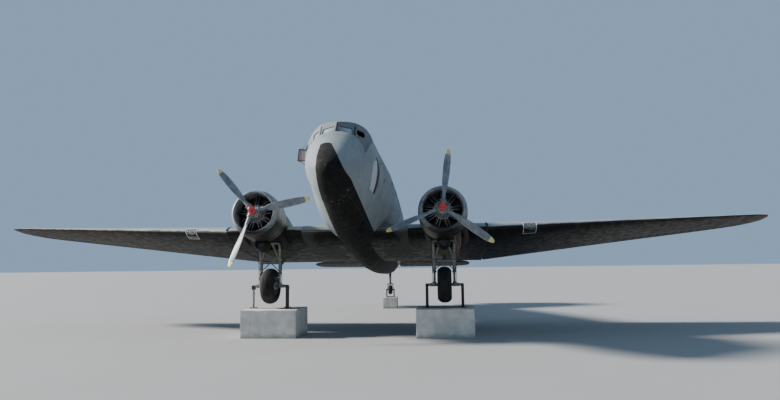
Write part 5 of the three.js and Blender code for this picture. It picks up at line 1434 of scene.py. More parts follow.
def make_legs(word, side):
    """Sprung legs: bright sliding tubes in ribbed cylinders, torque links, V struts, cross bars with
    bolted lugs, and a brake pipe down each leg."""
    legs = Piece(f"gear_{word}_legs", side, ENGINE_X, AXLE)
    for s in (-1, 1):
        x = s * LEG_X
        foot, neck, top = np.array([x, 0, -0.04]), np.array([x, -0.07, 0.4]), np.array([x, -0.13, 0.77])
        along = unit(top - neck)
        legs.add(bar(foot, neck + along * 0.06, 0.04, 24), 1)
        legs.add(tube([(x, 0, -0.05), (x, 0, 0.0), (x, -0.01, 0.06), (x, -0.02, 0.1)],
                      [0.07, 0.082, 0.062, 0.046], 20), 0)
        legs.add(bar(neck - along * 0.03, top, 0.056, 24), 0)
        for share, radius, high in ((0.0, 0.07, 0.05), (0.3, 0.062, 0.02), (0.62, 0.062, 0.02),
                                    (0.93, 0.072, 0.05)):
            spot = neck + (top - neck) * share
            legs.add(bar(spot - along * high / 2, spot + along * high / 2, radius, 24), 0)
        for reach, radius in ((0.34, 0.04), (0.1, 0.03)):
            knee, head = np.array([x, *TRUSS]), np.array([s * reach, *PIVOT])
            legs.add(bar(knee, head, radius, 20), 0)
            end = unit(head - knee)
            legs.add(bar(knee + end * 0.04, knee + end * 0.16, radius + 0.009, 20), 0)
            legs.add(bar(head - end * 0.14, head, radius + 0.008, 20), 0)
        lug = [(0, -0.05), (0.062, -0.05), (0.066, -0.04), (0.066, 0.04), (0.062, 0.05), (0, 0.05)]
        for hub in np.array([(x, TRUSS[0], 0.74), (s * 0.34, *PIVOT)]):
            legs.add(lathe(lug, hub, ASIDE, 24), 0)
            legs.add(studs(hub + [s * 0.05, 0, 0], [(s, 0, 0)], 0.03, 0.02), 2)
        for end in ([x, -0.15, 0.42], [x, -0.05, 0.1]):
            legs.add(tube([end, [x, -0.25, 0.24]], [0.024, 0.015], 10), 0)
        legs.add(bar((x - 0.03, -0.25, 0.24), (x + 0.03, -0.25, 0.24), 0.017, 12), 2)
        pipe = smooth_rows([(s * 0.372, -0.06, 0.02), (s * 0.385, -0.05, 0.2), (s * 0.375, -0.13, 0.42),
                            (s * 0.385, -0.15, 0.62), (s * 0.4, -0.19, 0.8), (s * 0.4, -0.32, 1.1)], 26)
        legs.add(tube(pipe, 0.008, 8), 3)
        clamp, size = np.array([x * 1.1, -0.1, 0.52]), np.array([0.045, 0.03, 0.012])
        legs.add(block(clamp - size, clamp + size), 2)
    for half, place, radius in ((AXLE_HALF, (0, 0), AXLE_RADIUS), (LEG_X, TRUSS, 0.042),
                                (BAY_HALF - 0.002, PIVOT, 0.044)):
        legs.add(bar((-half, *place), (half, *place), radius, 24), 0)
    for s in (-1, 1):
        legs.add(studs([(s * (AXLE_HALF - 0.001), 0, 0)], [(-s, 0, 0)], 0.034, 0.03), 2)
        legs.add(bar((s * 0.395, 0, 0), (s * 0.45, 0, 0), 0.058, 24), 0)
        legs.add(bar((0, *TRUSS), (s * LEG_X, TRUSS[0], 0.43), 0.016, 12), 0)
    legs.build("airframe", [GEAR_PAINT, PISTON_STEEL, ROD_METAL, WIRE_BLACK], "gear_paint",
               f"gear_legs_{word}", 40)


def make_drag_strut(word, side):
    """Drag strut: two tapered tubes from the truss to a knee with its pin, and one on into the nacelle."""
    strut = Piece(f"gear_{word}_drag", side, ENGINE_X, AXLE)
    knee, top = np.array([0, 1.05, 0.94]), np.array([0, 1.85, 1.24])
    for s in (-1, 1):
        foot = np.array([s * LEG_X, -0.062, 0.74])
        way = knee - foot
        strut.add(tube([foot + way * f for f in (0.03, 0.1, 0.16, 0.84, 0.92, 1.0)],
                       [0.026, 0.036, 0.03, 0.03, 0.036, 0.03], 20), 0)
    way = top - knee
    strut.add(tube([knee + way * f for f in (0, 0.1, 0.16, 1.0)], [0.036, 0.044, 0.036, 0.036], 20), 0)
    strut.add(bar(knee - [0.075, 0, 0], knee + [0.075, 0, 0], 0.045, 20), 0)
    strut.add(studs([knee + [0.075, 0, 0], knee - [0.075, 0, 0]], [(1, 0, 0), (-1, 0, 0)], 0.028, 0.02), 1)
    strut.build("airframe", [GEAR_PAINT, ROD_METAL], "gear_paint", f"gear_drag_strut_{word}", 40)


TYRE_LINE = [(0.3, -0.15), (0.306, -0.175), (0.335, -0.202), (0.375, -0.216), (0.42, -0.22), (0.46, -0.214),
             (0.505, -0.18), (0.545, -0.115), (0.558, -0.088), (0.567, -0.04), (0.57, 0.0)]


def tyre_surface(line, middle, turns=180, depth=0.009, blocks=60):
    """Tyre: a smooth section once round, its crown sunk by four grooves round it and by slanted cuts
    across the shoulders, each a short step in radius."""
    half = smooth_rows(line, 34)
    ring = np.concatenate([half, half[-2::-1] * [1, -1], half[:1]])
    radius, place = ring[:, 0][:, None], ring[:, 1][:, None]
    crown = radius[:, 0].max()
    turn = ring_turns(turns)[None, :]
    share = place / np.abs(place).max()
    tread = radius > crown * 0.955
    grooves = np.min([np.abs(np.abs(share) - g) for g in (0.09, 0.27)], axis=0) < 0.03
    slant = (turn * blocks / (2 * math.pi) + np.abs(share) * 2.2) % 1
    cuts = (slant < 0.3) & (np.abs(share) > 0.3)
    sunk = np.where(tread & (grooves | cuts), depth, 0.0)
    r = radius - sunk
    points = np.stack([place + 0 * turn, r * np.cos(turn), r * np.sin(turn)], -1) + middle
    return surface(points)


def make_wheel(word, side):
    """Wheel: treaded tyre with bead rings, and a dished rim with hub cap, spokes' webs and bolts."""
    tyre = Piece(f"wheel_{word}_tyre", side, ENGINE_X, AXLE).add(tyre_surface(TYRE_LINE, (0, 0, 0)), 0)
    for s in (-1, 1):
        for r, w in ((0.335, 0.202), (0.44, 0.2185)):
            tyre.add(lathe(hoop(r, s * (w - 0.001), 0.007, 0.005, 8), axis=ASIDE, sides=72), 0)
    tyre.build(f"wheel_{word}", TYRE_RUBBER, "tyre", f"main_tyre_{word}", 38)
    rim = Piece(f"wheel_{word}_rim", side, ENGINE_X, AXLE)
    line = [(0.052, -0.17), (0.1, -0.17), (0.118, -0.165), (0.125, -0.15), (0.13, -0.09), (0.15, -0.068),
            (0.2, -0.056), (0.245, -0.058), (0.258, -0.09), (0.266, -0.14), (0.276, -0.16), (0.29, -0.168),
            (0.299, -0.16)]
    ring = [*line, *[(r, -x) for r, x in line[::-1]], line[0]]
    rim.add(lathe(ring, axis=ASIDE, sides=72), 0)
    for s in (-1, 1):
        for count, r, x, size in ((12, 0.228, 0.057, 0.011), (8, 0.112, 0.166, 0.009)):
            rim.add(studs(circle(count, r, s * x, 0, 0.2), [(s, 0, 0)], size, 0.012), 1)
        for t in ring_turns(6)[:-1]:
            out = np.array([0, math.cos(t), math.sin(t)])
            web = tube([out * 0.128 + [s * 0.1, 0, 0], out * 0.25 + [s * 0.062, 0, 0]], [0.02, 0.012], 8)
            rim.add(web, 0)
        brake = [(0.135, s * 0.06), (0.2, s * 0.06), (0.2, s * 0.05), (0.135, s * 0.05), (0.135, s * 0.06)]
        rim.add(lathe(brake, axis=ASIDE, sides=48), 1)
    rim.build(f"wheel_{word}", [RIM_PAINT, ROD_METAL], "rim_metal", f"main_rim_{word}", 32)


# Tail wheel

TAIL_AXLE_Y, TAIL_AXLE_Z = 16.72, -0.42


def make_tail_gear():
    """Tail wheel leg: forged fork, swivel post with collar and gaiter, shock strut, tyre and rim."""
    axle = np.array([0, TAIL_AXLE_Y, TAIL_AXLE_Z])
    fork = Piece("tail_gear_fork")
    fork.add(bar(axle - [0.205, 0, 0], axle + [0.205, 0, 0], 0.024, 20), 1)
    for s in (-1, 1):
        inner, outer = s * 0.125, s * 0.15
        outline = rounded([(-0.04, -0.03), (0.04, -0.03), (0.05, 0.1), (0.045, 0.29), (-0.075, 0.29),
                           (-0.05, 0.1)], 0.03)
        fork.add(prism([(inner, axle[1] + y, axle[2] + z) for y, z in outline], (outer - inner, 0, 0)), 0)
        fork.add(studs([axle + [s * 0.15, 0, 0]], [(s, 0, 0)], 0.04, 0.02), 1)
    crown = rounded_box((-0.09, 0.26), (0.06, 0.31), 0.018)
    fork.add(prism([(-0.15, axle[1] + y, axle[2] + z) for y, z in crown], (0.3, 0, 0)), 0)
    foot, head = axle + [0, -0.06, 0.29], np.array([0, TAIL_AXLE_Y - 0.23, 0.7])
    way = head - foot
    fork.add(tube([foot + way * f for f in (0, 0.08, 0.1, 0.3, 0.32, 0.42, 0.44, 1.0)],
                  [0.062, 0.062, 0.05, 0.05, 0.06, 0.06, 0.052, 0.052], 28), 0)
    for f in np.arange(0.47, 0.92, 0.06):
        fork.add(tube([foot + way * (f + d) for d in (0, 0.015, 0.045, 0.06)], [0.053, 0.066, 0.066, 0.053],
                      24), 2)
    fork.build("airframe", [GEAR_PAINT, ROD_METAL, RUBBER_SEAL], "gear_paint", "tail_wheel_fork", 40)
    line = [(0.11, -0.06), (0.118, -0.08), (0.135, -0.095), (0.165, -0.1), (0.195, -0.094), (0.218, -0.07),
            (0.23, -0.035), (0.235, 0.0)]
    Piece("tail_wheel_tyre").add(tyre_surface(line, axle, 120, 0.004, 40)).build(
        "tail_wheel", TYRE_RUBBER, "tyre", "tail_tyre", 38)
    rim = Piece("tail_wheel_rim")
    half = [(0.03, -0.07), (0.055, -0.07), (0.06, -0.05), (0.085, -0.03), (0.1, -0.045), (0.106, -0.07),
            (0.109, -0.066)]
    rim.add(lathe([*half, *[(r, -x) for r, x in half[::-1]], half[0]], axle, ASIDE, 48), 0)
    for s in (-1, 1):
        rim.add(studs(axle + circle(6, 0.078, s * 0.038, 0), [(s, 0, 0)], 0.006, 0.008), 1)
    rim.build("tail_wheel", [RIM_PAINT, ROD_METAL], "rim_metal", "tail_rim", 32)


for word, side in SIDES.items():
    make_legs(word, side)
    make_drag_strut(word, side)
    make_wheel(word, side)
make_tail_gear()

# Stand, drawn straight in the frame

PLINTH_TOP, POST_OFFSET = 0.87, 0.56


def ripple(points, scale, seed):
    """Gentle unevenness from -1 to 1: four crossed waves of different lengths."""
    waves = np.random.default_rng(seed)
    total = np.zeros(points.shape[:-1])
    for k in range(4):
        way = waves.normal(size=3)
        way *= scale * 1.7**k / np.linalg.norm(way)
        total += np.sin(points @ way + waves.uniform(0, 6.3)) / (k + 1)
    return total / 2.1


def cast_block(low, high, seed, step=0.045):
    """Cast concrete block: six gridded faces. Near an edge a point moves onto an arc round the inner
    block, and the arc's radius swells in places where the edge has chipped."""
    low, high = np.asarray(low, float), np.asarray(high, float)
    shapes = []
    for axis in range(3):
        a, b = (axis + 1) % 3, (axis + 2) % 3
        u = np.linspace(low[a], high[a], int((high[a] - low[a]) / step) + 2)
        v = np.linspace(low[b], high[b], int((high[b] - low[b]) / step) + 2)
        for end in (low, high):
            points = np.zeros((len(u), len(v), 3))
            points[..., a], points[..., b], points[..., axis] = u[:, None], v[None, :], end[axis]
            radius = 0.014 + 0.034 * np.clip(ripple(points, 7.0, seed) - 0.25, 0, 1)[..., None]
            inner = np.clip(points, low + radius, high - radius)
            away = points - inner
            length = np.maximum(np.linalg.norm(away, axis=-1, keepdims=True), 1e-9)
            moved = inner + away / length * np.minimum(radius, length)
            moved -= away / length * 0.0035 * (1 + ripple(points, 4.0, seed + 1)[..., None])
            moved = np.clip(moved, low, high)
            moved[..., 2] = np.where(points[..., 2] == low[2], low[2], moved[..., 2])
            shapes.append(surface(moved))
    return shapes


def make_plinths():
    """Three cast plinths."""
    for seed, node in enumerate(["plinth_port", "plinth_starboard", "plinth_tail"]):
        cast = Piece(f"{node}_cast", level=False)
        for shape in cast_block(*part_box(node), seed * 7 + 3):
            cast.add(shape)
        cast.build("airframe", CONCRETE, "concrete", node, 35)


def make_posts(word, side):
    """Post frame under an axle: base plates with bolts and welds, two posts, open saddles, a sill. The
    starboard frame's outer post is a round pipe in pale paint, painted sunlight beside the dark posts, as it
    stands in the open."""
    posts = Piece(f"posts_{word}_steel", middle=(0, WHEEL_PLACE[1], 0), level=False)
    saddle = WHEEL_PLACE[2] - AXLE_RADIUS - 0.001
    high = saddle - PLINTH_TOP
    for s in (-1, 1):
        x = side * ENGINE_X + s * POST_OFFSET
        pipe = word == "starboard" and s < 0
        base = rounded_box((-0.11, -0.11), (0.11, 0.11), 0.012)
        posts.add(prism([(x + a, b, PLINTH_TOP + 0.0005) for a, b in base], (0, 0, 0.0245)), 0)
        corners = [(x + a * 0.082, b * 0.082, PLINTH_TOP + 0.025) for a in (-1, 1) for b in (-1, 1)]
        posts.add(studs(corners, UP, 0.017, 0.014), 1)
        posts.add(studs(np.array(corners) + [0, 0, 0.014], UP, 0.008, 0.018, 8), 1)
        if pipe:
            line = [(0, 0.02), (0.043, 0.02), (0.036, 0.035), (0.034, 0.05), (0.034, high - 0.05),
                    (0.04, high - 0.04), (0.04, high), (0, high)]
            # Pale paint on the pipe: painted sunlight.
            posts.add(lathe(line, (x, 0, PLINTH_TOP), UP, 28), 2)
        else:
            web = [(-0.045, -0.055), (0.045, -0.055), (0.045, -0.046), (0.006, -0.044), (0.006, 0.044),
                   (0.045, 0.046), (0.045, 0.055), (-0.045, 0.055), (-0.045, 0.046), (-0.006, 0.044),
                   (-0.006, -0.044), (-0.045, -0.046)]
            posts.add(prism([(x + a, b, PLINTH_TOP + 0.02) for a, b in web], (0, 0, high - 0.021)), 0)
            for b in (-0.055, 0.055):
                weld = [(x - 0.05, b, PLINTH_TOP + 0.025), (x + 0.05, b, PLINTH_TOP + 0.025)]
                posts.add(tube(weld, 0.008, 8), 0)
        posts.add(block((x - 0.05, -0.06, saddle - 0.014), (x + 0.05, 0.06, saddle)), 0)
        for b in (-1, 1):
            ear = rounded_box((-0.045, -0.07), (0.045, 0.06), 0.02)
            posts.add(prism([(x + a, b * 0.05, saddle + c) for a, c in ear], (0, b * 0.033, 0)), 0)
            posts.add(studs([(x, b * 0.083, saddle - 0.035)], [(0, b, 0)], 0.013, 0.012), 1)
    x = side * ENGINE_X
    sill = [(-0.11, 0.001), (-0.06, 0.001), (-0.06, 0.007), (-0.103, 0.007), (-0.103, 0.024), (-0.11, 0.024)]
    posts.add(prism([(x - POST_OFFSET, y, PLINTH_TOP + z) for y, z in sill], (2 * POST_OFFSET, 0, 0)), 0)
    posts.build("airframe", [POST_STEEL, ROD_METAL, RIM_PAINT], "rusty_steel", f"axle_posts_{word}", 35)


def make_cradle():
    """Cradle under the tail wheel's axle: base plate, two box posts with gussets, and open saddles."""
    low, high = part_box("tail_cradle")
    top = TAIL_WHEEL_PLACE[2] - 0.0245
    y = TAIL_WHEEL_PLACE[1]
    cradle = Piece("tail_cradle_steel", level=False)
    base = rounded_box((low.x, low.y), (high.x, high.y), 0.015)
    cradle.add(prism([(a, b, low.z) for a, b in base], (0, 0, 0.028)), 0)
    bolts = [(a * 0.185, y + b * 0.125, low.z + 0.028) for a in (-1, 1) for b in (-1, 1)]
    cradle.add(studs(bolts, UP, 0.014, 0.014), 1)
    for a, b in (-0.212, -0.158), (0.158, 0.212):
        cradle.add(block((a, y - 0.055, low.z + 0.02), (b, y + 0.055, top)), 0)
        for d in (-1, 1):
            near, far = sorted((y + d * 0.03, y + d * 0.055))
            cradle.add(block((a, near, top - 0.04), (b, far, top + 0.065)), 0)
            gusset = [(y + d * 0.055, low.z + 0.028), (y + d * 0.12, low.z + 0.028),
                      (y + d * 0.055, low.z + 0.09)]
            cradle.add(prism([(a + 0.02, p, q) for p, q in gusset], (0.01, 0, 0)), 0)
    cradle.build("airframe", [POST_STEEL, ROD_METAL], "rusty_steel", "tail_cradle", 35)


make_plinths()
for word, side in SIDES.items():
    make_posts(word, side)
make_cradle()

# Doors

DOOR_SKIN, LEAF_PLAY, FRAME_BACK = 0.01, 0.01, 0.05


def make_door(name, start, end, door, back_start, back_end, window=None):
    """Door leaf: a curved outer skin and an inner frame set back from its free edges with pressed pans,
    with the window cut through both where one is given."""
    outline = door_outline(door, start, end)
    outline[:, 1] = np.clip(outline[:, 1], door["low"] + PLAY, door["high"] - PLAY)
    leaf, inner = (Piece(f"{name}_{part}").add(fuselage_body(start - 0.03, end + 0.03, grow,
                                                             0.05)).mesh_object()
                   for part, grow in (("leaf", 0.0), ("inner", 0.0005 - DOOR_SKIN)))
    carve(leaf, [fuselage_body(start - 0.06, end + 0.06, -DOOR_SKIN, 0.05)])
    carve(inner, [fuselage_body(start - 0.06, end + 0.06, -0.045, 0.05)])
    carve(leaf, [side_prism(outline)], "INTERSECT")
    low, high = door["low"] + PLAY, door["high"] - PLAY
    left, right = start + back_start + 0.002, end - back_end - 0.002
    carve(inner, [side_prism(rounded_box((left, low + 0.01), (right, high - 0.01), 0.07))], "INTERSECT")
    columns = np.linspace(left + 0.05, right - 0.05, 3 if right - left > 0.8 else 2)
    rows = np.linspace(low + 0.06, high - 0.06, 4)
    carve(inner, [side_prism(rounded_box((y0 + 0.02, z0 + 0.02), (y1 - 0.02, z1 - 0.02), 0.05))
                  for y0, y1 in zip(columns[:-1], columns[1:]) for z0, z1 in zip(rows[:-1], rows[1:])])
    if window:
        for part in (leaf, inner):
            carve(part, [window_cutter(window, PORT)])
    finish_piece(leaf, name, AIRFRAME_PAINT, name, 35)
    finish_piece(inner, name, CABIN_TRIM, sharp=35)


def make_doors():
    """Crew door and the two cargo leaves, with handles and hinge straps on the outside."""
    middle = CARGO_DOOR["middle"]
    make_door("crew_door", CREW_DOOR["start"] + PLAY, CREW_DOOR["end"] - LEAF_PLAY, CREW_DOOR, 0,
              FRAME_BACK)
    make_door("cargo_door_front", CARGO_DOOR["start"] + PLAY, middle - LEAF_PLAY, CARGO_DOOR, 0, FRAME_BACK,
              AFT_WINDOW)
    make_door("cargo_door_rear", middle + LEAF_PLAY, CARGO_DOOR["end"] - PLAY, CARGO_DOOR, FRAME_BACK, 0)
    fittings = {"crew_door": (3.2, 0.92, [(2.665, 0.6), (2.665, 1.28)], 1),
                "cargo_door_front": (11.87, 0.95, [(10.93, 0.42), (10.93, 1.02), (10.93, 1.58)], 1),
                "cargo_door_rear": (12.1, 0.95, [(13.02, 0.42), (13.02, 1.02), (13.02, 1.58)], -1)}
    for name, (y, z, hinges, way) in fittings.items():
        trim = Piece(f"{name}_fittings")
        x = float(skin_x(np.array([y]), np.array([z]))[0])
        plate = rounded_box((y - 0.045, z - 0.09), (y + 0.045, z + 0.09), 0.03)
        trim.add(prism([(x - 0.006, a, b) for a, b in plate], (0.01, 0, 0)), 0)
        grip = [(0.002, 0.05), (0.018, 0.04), (0.02, -0.04), (0.002, -0.05)]
        trim.add(tube([(x + a, y, z + b) for a, b in grip], 0.008, 10), 0)
        for hy, hz in hinges:
            ys, zs = hy + way * np.linspace(0, 0.17, 8), np.full(8, hz)
            path = np.stack([skin_x(ys, zs) + 0.002, ys, zs], -1)
            profile = [(-0.022, -0.006), (0.022, -0.006), (0.018, 0.005), (-0.018, 0.005)]
            trim.add(sweep(path, UP, ASIDE, profile), 0)
            trim.add(studs(path[[2, 4, 6]] + [0.004, 0, 0], ASIDE, 0.007, 0.005), 0)
        trim.build(name, [GEAR_PAINT], "airframe_paint", sharp=35)


make_doors()

# Windows


def frame_strip(outline, side, width=0.022, thick=0.005):
    """Raised frame round a hole in the skin: a flat strip that follows the skin's half width."""
    away = unit(outline - outline.mean(0))
    rings = []
    for out, lift in ((0.001, -0.006), (0.001, thick), (width * 0.8, thick), (width, 0.001), (width, -0.006)):
        ring = outline + away * out
        rings.append(np.stack([skin_x(*ring.T) + lift, *ring.T], -1))
    points = np.stack([*rings, rings[0]], 1)
    return mirror(surface(np.concatenate([points, points[:1]])), side)


def glass_pane(outline, side, inset, thick=0.006):
    """A thin pane inside a hole, curved with the skin: a fan from its middle on both faces."""
    middle = outline.mean(0)
    shares = np.array([0.0, 0.5, 1.0])[:, None, None]
    y, z = np.moveaxis(middle + shares * (np.concatenate([outline, outline[:1]]) - middle), -1, 0)
    outer = np.stack([skin_x(y, z) - inset, y, z], -1)
    return mirror(surface(np.concatenate([outer, outer[::-1] - [thick, 0, 0]])), side)


def make_windows():
    """Cabin and cockpit side windows: frames outside and dusty panes just inside the skin."""
    frames, panes = Piece("window_frames"), Piece("window_panes")
    for place, side in windows(COCKPIT_END, CABIN_END):
        frames.add(frame_strip(window_outline(*place), side))
        panes.add(glass_pane(window_outline(*place), side, 0.012))
    for side in (PORT, STARBOARD):
        frames.add(frame_strip(rounded(SIDE_WINDOW, 0.05), side, 0.028, 0.006))
        panes.add(glass_pane(rounded(SIDE_WINDOW, 0.05), side, 0.02))
    frames.build("airframe", AIRFRAME_PAINT, "airframe_paint", sharp=35)
    panes.build("airframe", GLASS, "glass", sharp=35)
    outline = window_outline(*AFT_WINDOW)
    Piece("cargo_door_window").add(glass_pane(outline, PORT, 0.012)).build("cargo_door_front", GLASS,
                                                                           "glass")
    edge = Piece("cargo_door_window_frame").add(frame_strip(outline, PORT))
    edge.build("cargo_door_front", AIRFRAME_PAINT, "airframe_paint")


def face_ring(face, outline, away, section, side):
    """A closed strip round a window in a flat face; the section is listed as (away, out)."""
    rings = np.stack([face_points(face, outline + away * a, out) for a, out in [*section, section[0]]], 1)
    return mirror(surface(np.concatenate([rings, rings[:1]])), side)


def face_window(trim, face, outline, side):
    """A bolted frame and a seal round a window in a flat face; the seals are black rubber to port and the
    airframe's grey to starboard, painted shade against painted sunlight.
    """
    corners = rounded(outline, 0.03, 4)
    away = unit(corners - corners.mean(0))
    trim.add(face_ring(face, corners, away, [(-0.012, -0.015), (-0.012, 0.004), (0.018, 0.007),
                                             (0.025, 0.001), (0.025, -0.006)], side), 0)
    # Seal finish by side: black to port, grey to starboard, painted shade and painted sunlight.
    trim.add(face_ring(face, corners, away, [(-0.016, -0.018), (-0.016, -0.006), (-0.01, 0.002),
                                             (-0.006, -0.018)], side), int(side == PORT))
    places = mirror((face_points(face, corners[::2] + away[::2] * 0.008, 0.006), None, None), side)[0]
    trim.add(studs(places, [face_out(face) * [side, 1, 1]], 0.005, 0.003), 2)


def make_windscreen():
    """Two flat panes and a starboard corner pane in seals, the posts' caps and two wipers. Seals and posts
    are black to port and in the middle, and grey to starboard: painted shade and painted sunlight.
    """
    out = face_out(FRONT_FACE)
    middle = np.mean(PANE, 0)
    small = middle + (np.array(PANE) - middle) * 0.994
    for word, side in SIDES.items():
        pane = Piece(f"windscreen_{word}_glass", side).add(prism(face_points(FRONT_FACE, small, -0.03),
                                                                 0.012 * out))
        pane.build("airframe", WINDSCREEN_GLASS, "glass", f"windscreen_pane_{word}")
        trim = Piece(f"windscreen_{word}_frame")
        for face, outline in (FRONT_FACE, PANE), (CORNER_FACE, CORNER_WINDOW):
            face_window(trim, face, outline, side)
        foot, tip = face_points(FRONT_FACE, [(0.24, 1.65), (0.12, 1.76)], 0.005)
        blade = face_points(FRONT_FACE, [(0.08, 1.7), (0.13, 1.82)], 0.002)
        trim.add(mirror(tube([foot, (foot + tip) / 2 + out * 0.012, tip], 0.004, 8), side), 0)
        trim.add(mirror(tube(blade, 0.004, 8), side), 2)
        hub = [(0, 0), (0.016, 0), (0.016, 0.012), (0.006, 0.018), (0, 0.018)]
        trim.add(mirror(lathe(hub, foot - out * 0.006, out, 16), side), 2)
        trim.build("airframe", [AIRFRAME_PAINT, RUBBER_SEAL, WIRE_BLACK], "airframe_paint", sharp=35)
    corner_pane = prism(face_points(CORNER_FACE, CORNER_WINDOW, -0.03), 0.008 * face_out(CORNER_FACE))
    Piece("corner_window_glass").add(mirror(corner_pane, STARBOARD)).build("airframe", WINDSCREEN_GLASS,
                                                                           "glass")
    posts = Piece("windscreen_posts")
    profile = np.array([(-0.022, -0.004), (-0.008, 0.016), (0.008, 0.016), (0.022, -0.004), (0, -0.02)])
    # The middle and port posts are black and the starboard post grey: painted shade and painted sunlight.
    for x, low, high in (0.0, 1.66, 1.945), (CORNER_X, 1.6, 1.93), (-CORNER_X, 1.6, 1.93):
        z = np.linspace(low, high, 8)
        path = face_points(FRONT_FACE, np.stack([0 * z + abs(x), z], -1)) * [math.copysign(1, x), 1, 1]
        ahead = face_out((1.4 * x, 0))
        posts.add(sweep(path, np.cross(ahead, path[-1] - path[0]) / np.linalg.norm(path[-1] - path[0]),
                        ahead, profile), int(x < 0))
    posts.build("airframe", [RUBBER_SEAL, AIRFRAME_PAINT], "airframe_paint", sharp=35)


make_windows()
make_windscreen()


# Cockpit and cabin

SEAT_X = 0.43


def skin_outline(start, end, z, inset, count=40):
    """Closed outline of the fuselage's inside at one height, as (x, y, z)."""
    y = np.linspace(start, end, count)
    half = np.stack([skin_x(y, z, -inset), y, np.full_like(y, z)], -1)
    return np.concatenate([half, half[::-1] * [-1, 1, 1]])


def make_cockpit_floor_and_panel():
    """Cockpit floor, and the panel on its column with a hood, dials, levers and the rudder pedals."""
    panel = Piece("instrument_panel")
    panel.add(prism(skin_outline(NOSE_END + 0.012, COCKPIT_END - 0.004, 0.25, 0.055), (0, 0, 0.036)), 1)
    for x in np.arange(-0.7, 0.71, 0.14):
        panel.add(block((x - 0.012, 1.5, 0.286), (x + 0.012, 2.56, 0.29)), 1)
    board = [(-0.585, 1.01), (0.585, 1.01), (0.585, 1.26), (0.47, 1.405), (-0.47, 1.405), (-0.585, 1.26)]
    panel.add(prism([(x, 1.402, z) for x, z in rounded(board, 0.05)], (0, 0.03, 0)), 0)
    hood = np.array([(x, 1.4, 1.408 - 0.06 * (abs(x) / 0.47) ** 4) for x in np.linspace(-0.47, 0.47, 25)])
    panel.add(sweep(hood, AFT, UP, [(0.0, 0.0), (0.06, 0.006), (0.06, 0.014), (0.0, 0.02)]), 2)
    panel.add(block((-0.29, 1.404, 0.286), (0.29, 1.456, 1.02)), 0)
    panel.add(block((-0.15, 1.45, 0.72), (0.15, 1.5, 1.0)), 0)
    for k, x in enumerate((-0.11, -0.075, -0.04, 0.04, 0.075, 0.11)):
        top = (x, 1.52, 1.07 - 0.02 * (k % 2))
        panel.add(tube([(x, 1.475, 0.98), top], 0.005, 8), 3)
        panel.add(lathe([(0, -0.016), (0.014, -0.008), (0.014, 0.008), (0, 0.016)], top, ASIDE, 14), 4)
    board_dials = [(x, z, 0.042) for z in (1.33, 1.22) for x in (0.17, 0.28, 0.39)]
    board_dials += [(0.5, 1.2, 0.034), (0.22, 1.11, 0.03), (0.34, 1.11, 0.03)]
    dials = [(side * x, z, r) for side in (PORT, STARBOARD) for x, z, r in board_dials]
    dials += [(x, z, 0.03) for x in (-0.07, 0.0, 0.07) for z in (1.34, 1.26, 1.18)]
    for k, (x, z, r) in enumerate(dials):
        centre = (x, 1.432, z)
        rim = [(r * 0.84, 0), (r, 0), (r, 0.007), (r * 0.93, 0.01), (r * 0.84, 0.006), (r * 0.84, 0)]
        panel.add(lathe(rim, centre, AFT, 24), 4)
        panel.add(lathe([(0, 0), (r * 0.86, 0), (r * 0.86, 0.003), (0, 0.003)], centre, AFT, 24), 5)
        turn = 1.1 * k
        tip = (x + r * 0.6 * math.cos(turn), 1.4365, z + r * 0.6 * math.sin(turn))
        panel.add(tube([(x, 1.4365, z), tip], [0.0025, 0.001], 6), 6)
    for side in (PORT, STARBOARD):
        for x in (side * 0.34, side * 0.5):
            panel.add(tube([(x, 1.47, 0.29), (x, 1.45, 0.42)], 0.009, 10), 3)
            left, right = np.array([x - 0.05, 1.46, 0.44]), np.array([x + 0.05, 1.46, 0.44])
            panel.add(aligned_block(left, right, (0, 0.35, -1), (0, -0.05, -0.004), (0.1, 0.05, 0.004)), 3)
        x = side * SEAT_X
        column = [(x, 1.66, 0.29), (x, 1.65, 0.6), (x, 1.6, 0.93)]
        panel.add(tube(column, [0.02, 0.018, 0.016], 14), 3)
        panel.add(lathe([(0, -0.02), (0.03, -0.014), (0.03, 0.014), (0, 0.02)], column[-1], (0, 1, 0.15),
                        18), 4)
        turns = np.linspace(math.radians(-215), math.radians(35), 30)
        ring = [(x + 0.15 * math.cos(t), 1.62 - 0.02 * math.sin(t), 0.93 + 0.14 * math.sin(t))
                for t in turns]
        panel.add(tube(ring, 0.011, 10, (0.1, 1, 0)), 4)
        for spoke in (0, -1):
            panel.add(tube([column[-1], ring[spoke]], 0.007, 8), 3)
    panel.build("airframe", [COCKPIT_TRIM, FLOOR_METAL, SEAT_LEATHER, PISTON_STEEL, RUBBER_SEAL, DIAL_FACE,
                             DIAL_MARK], "cockpit_trim", "instrument_panel", bevel=0.0015)


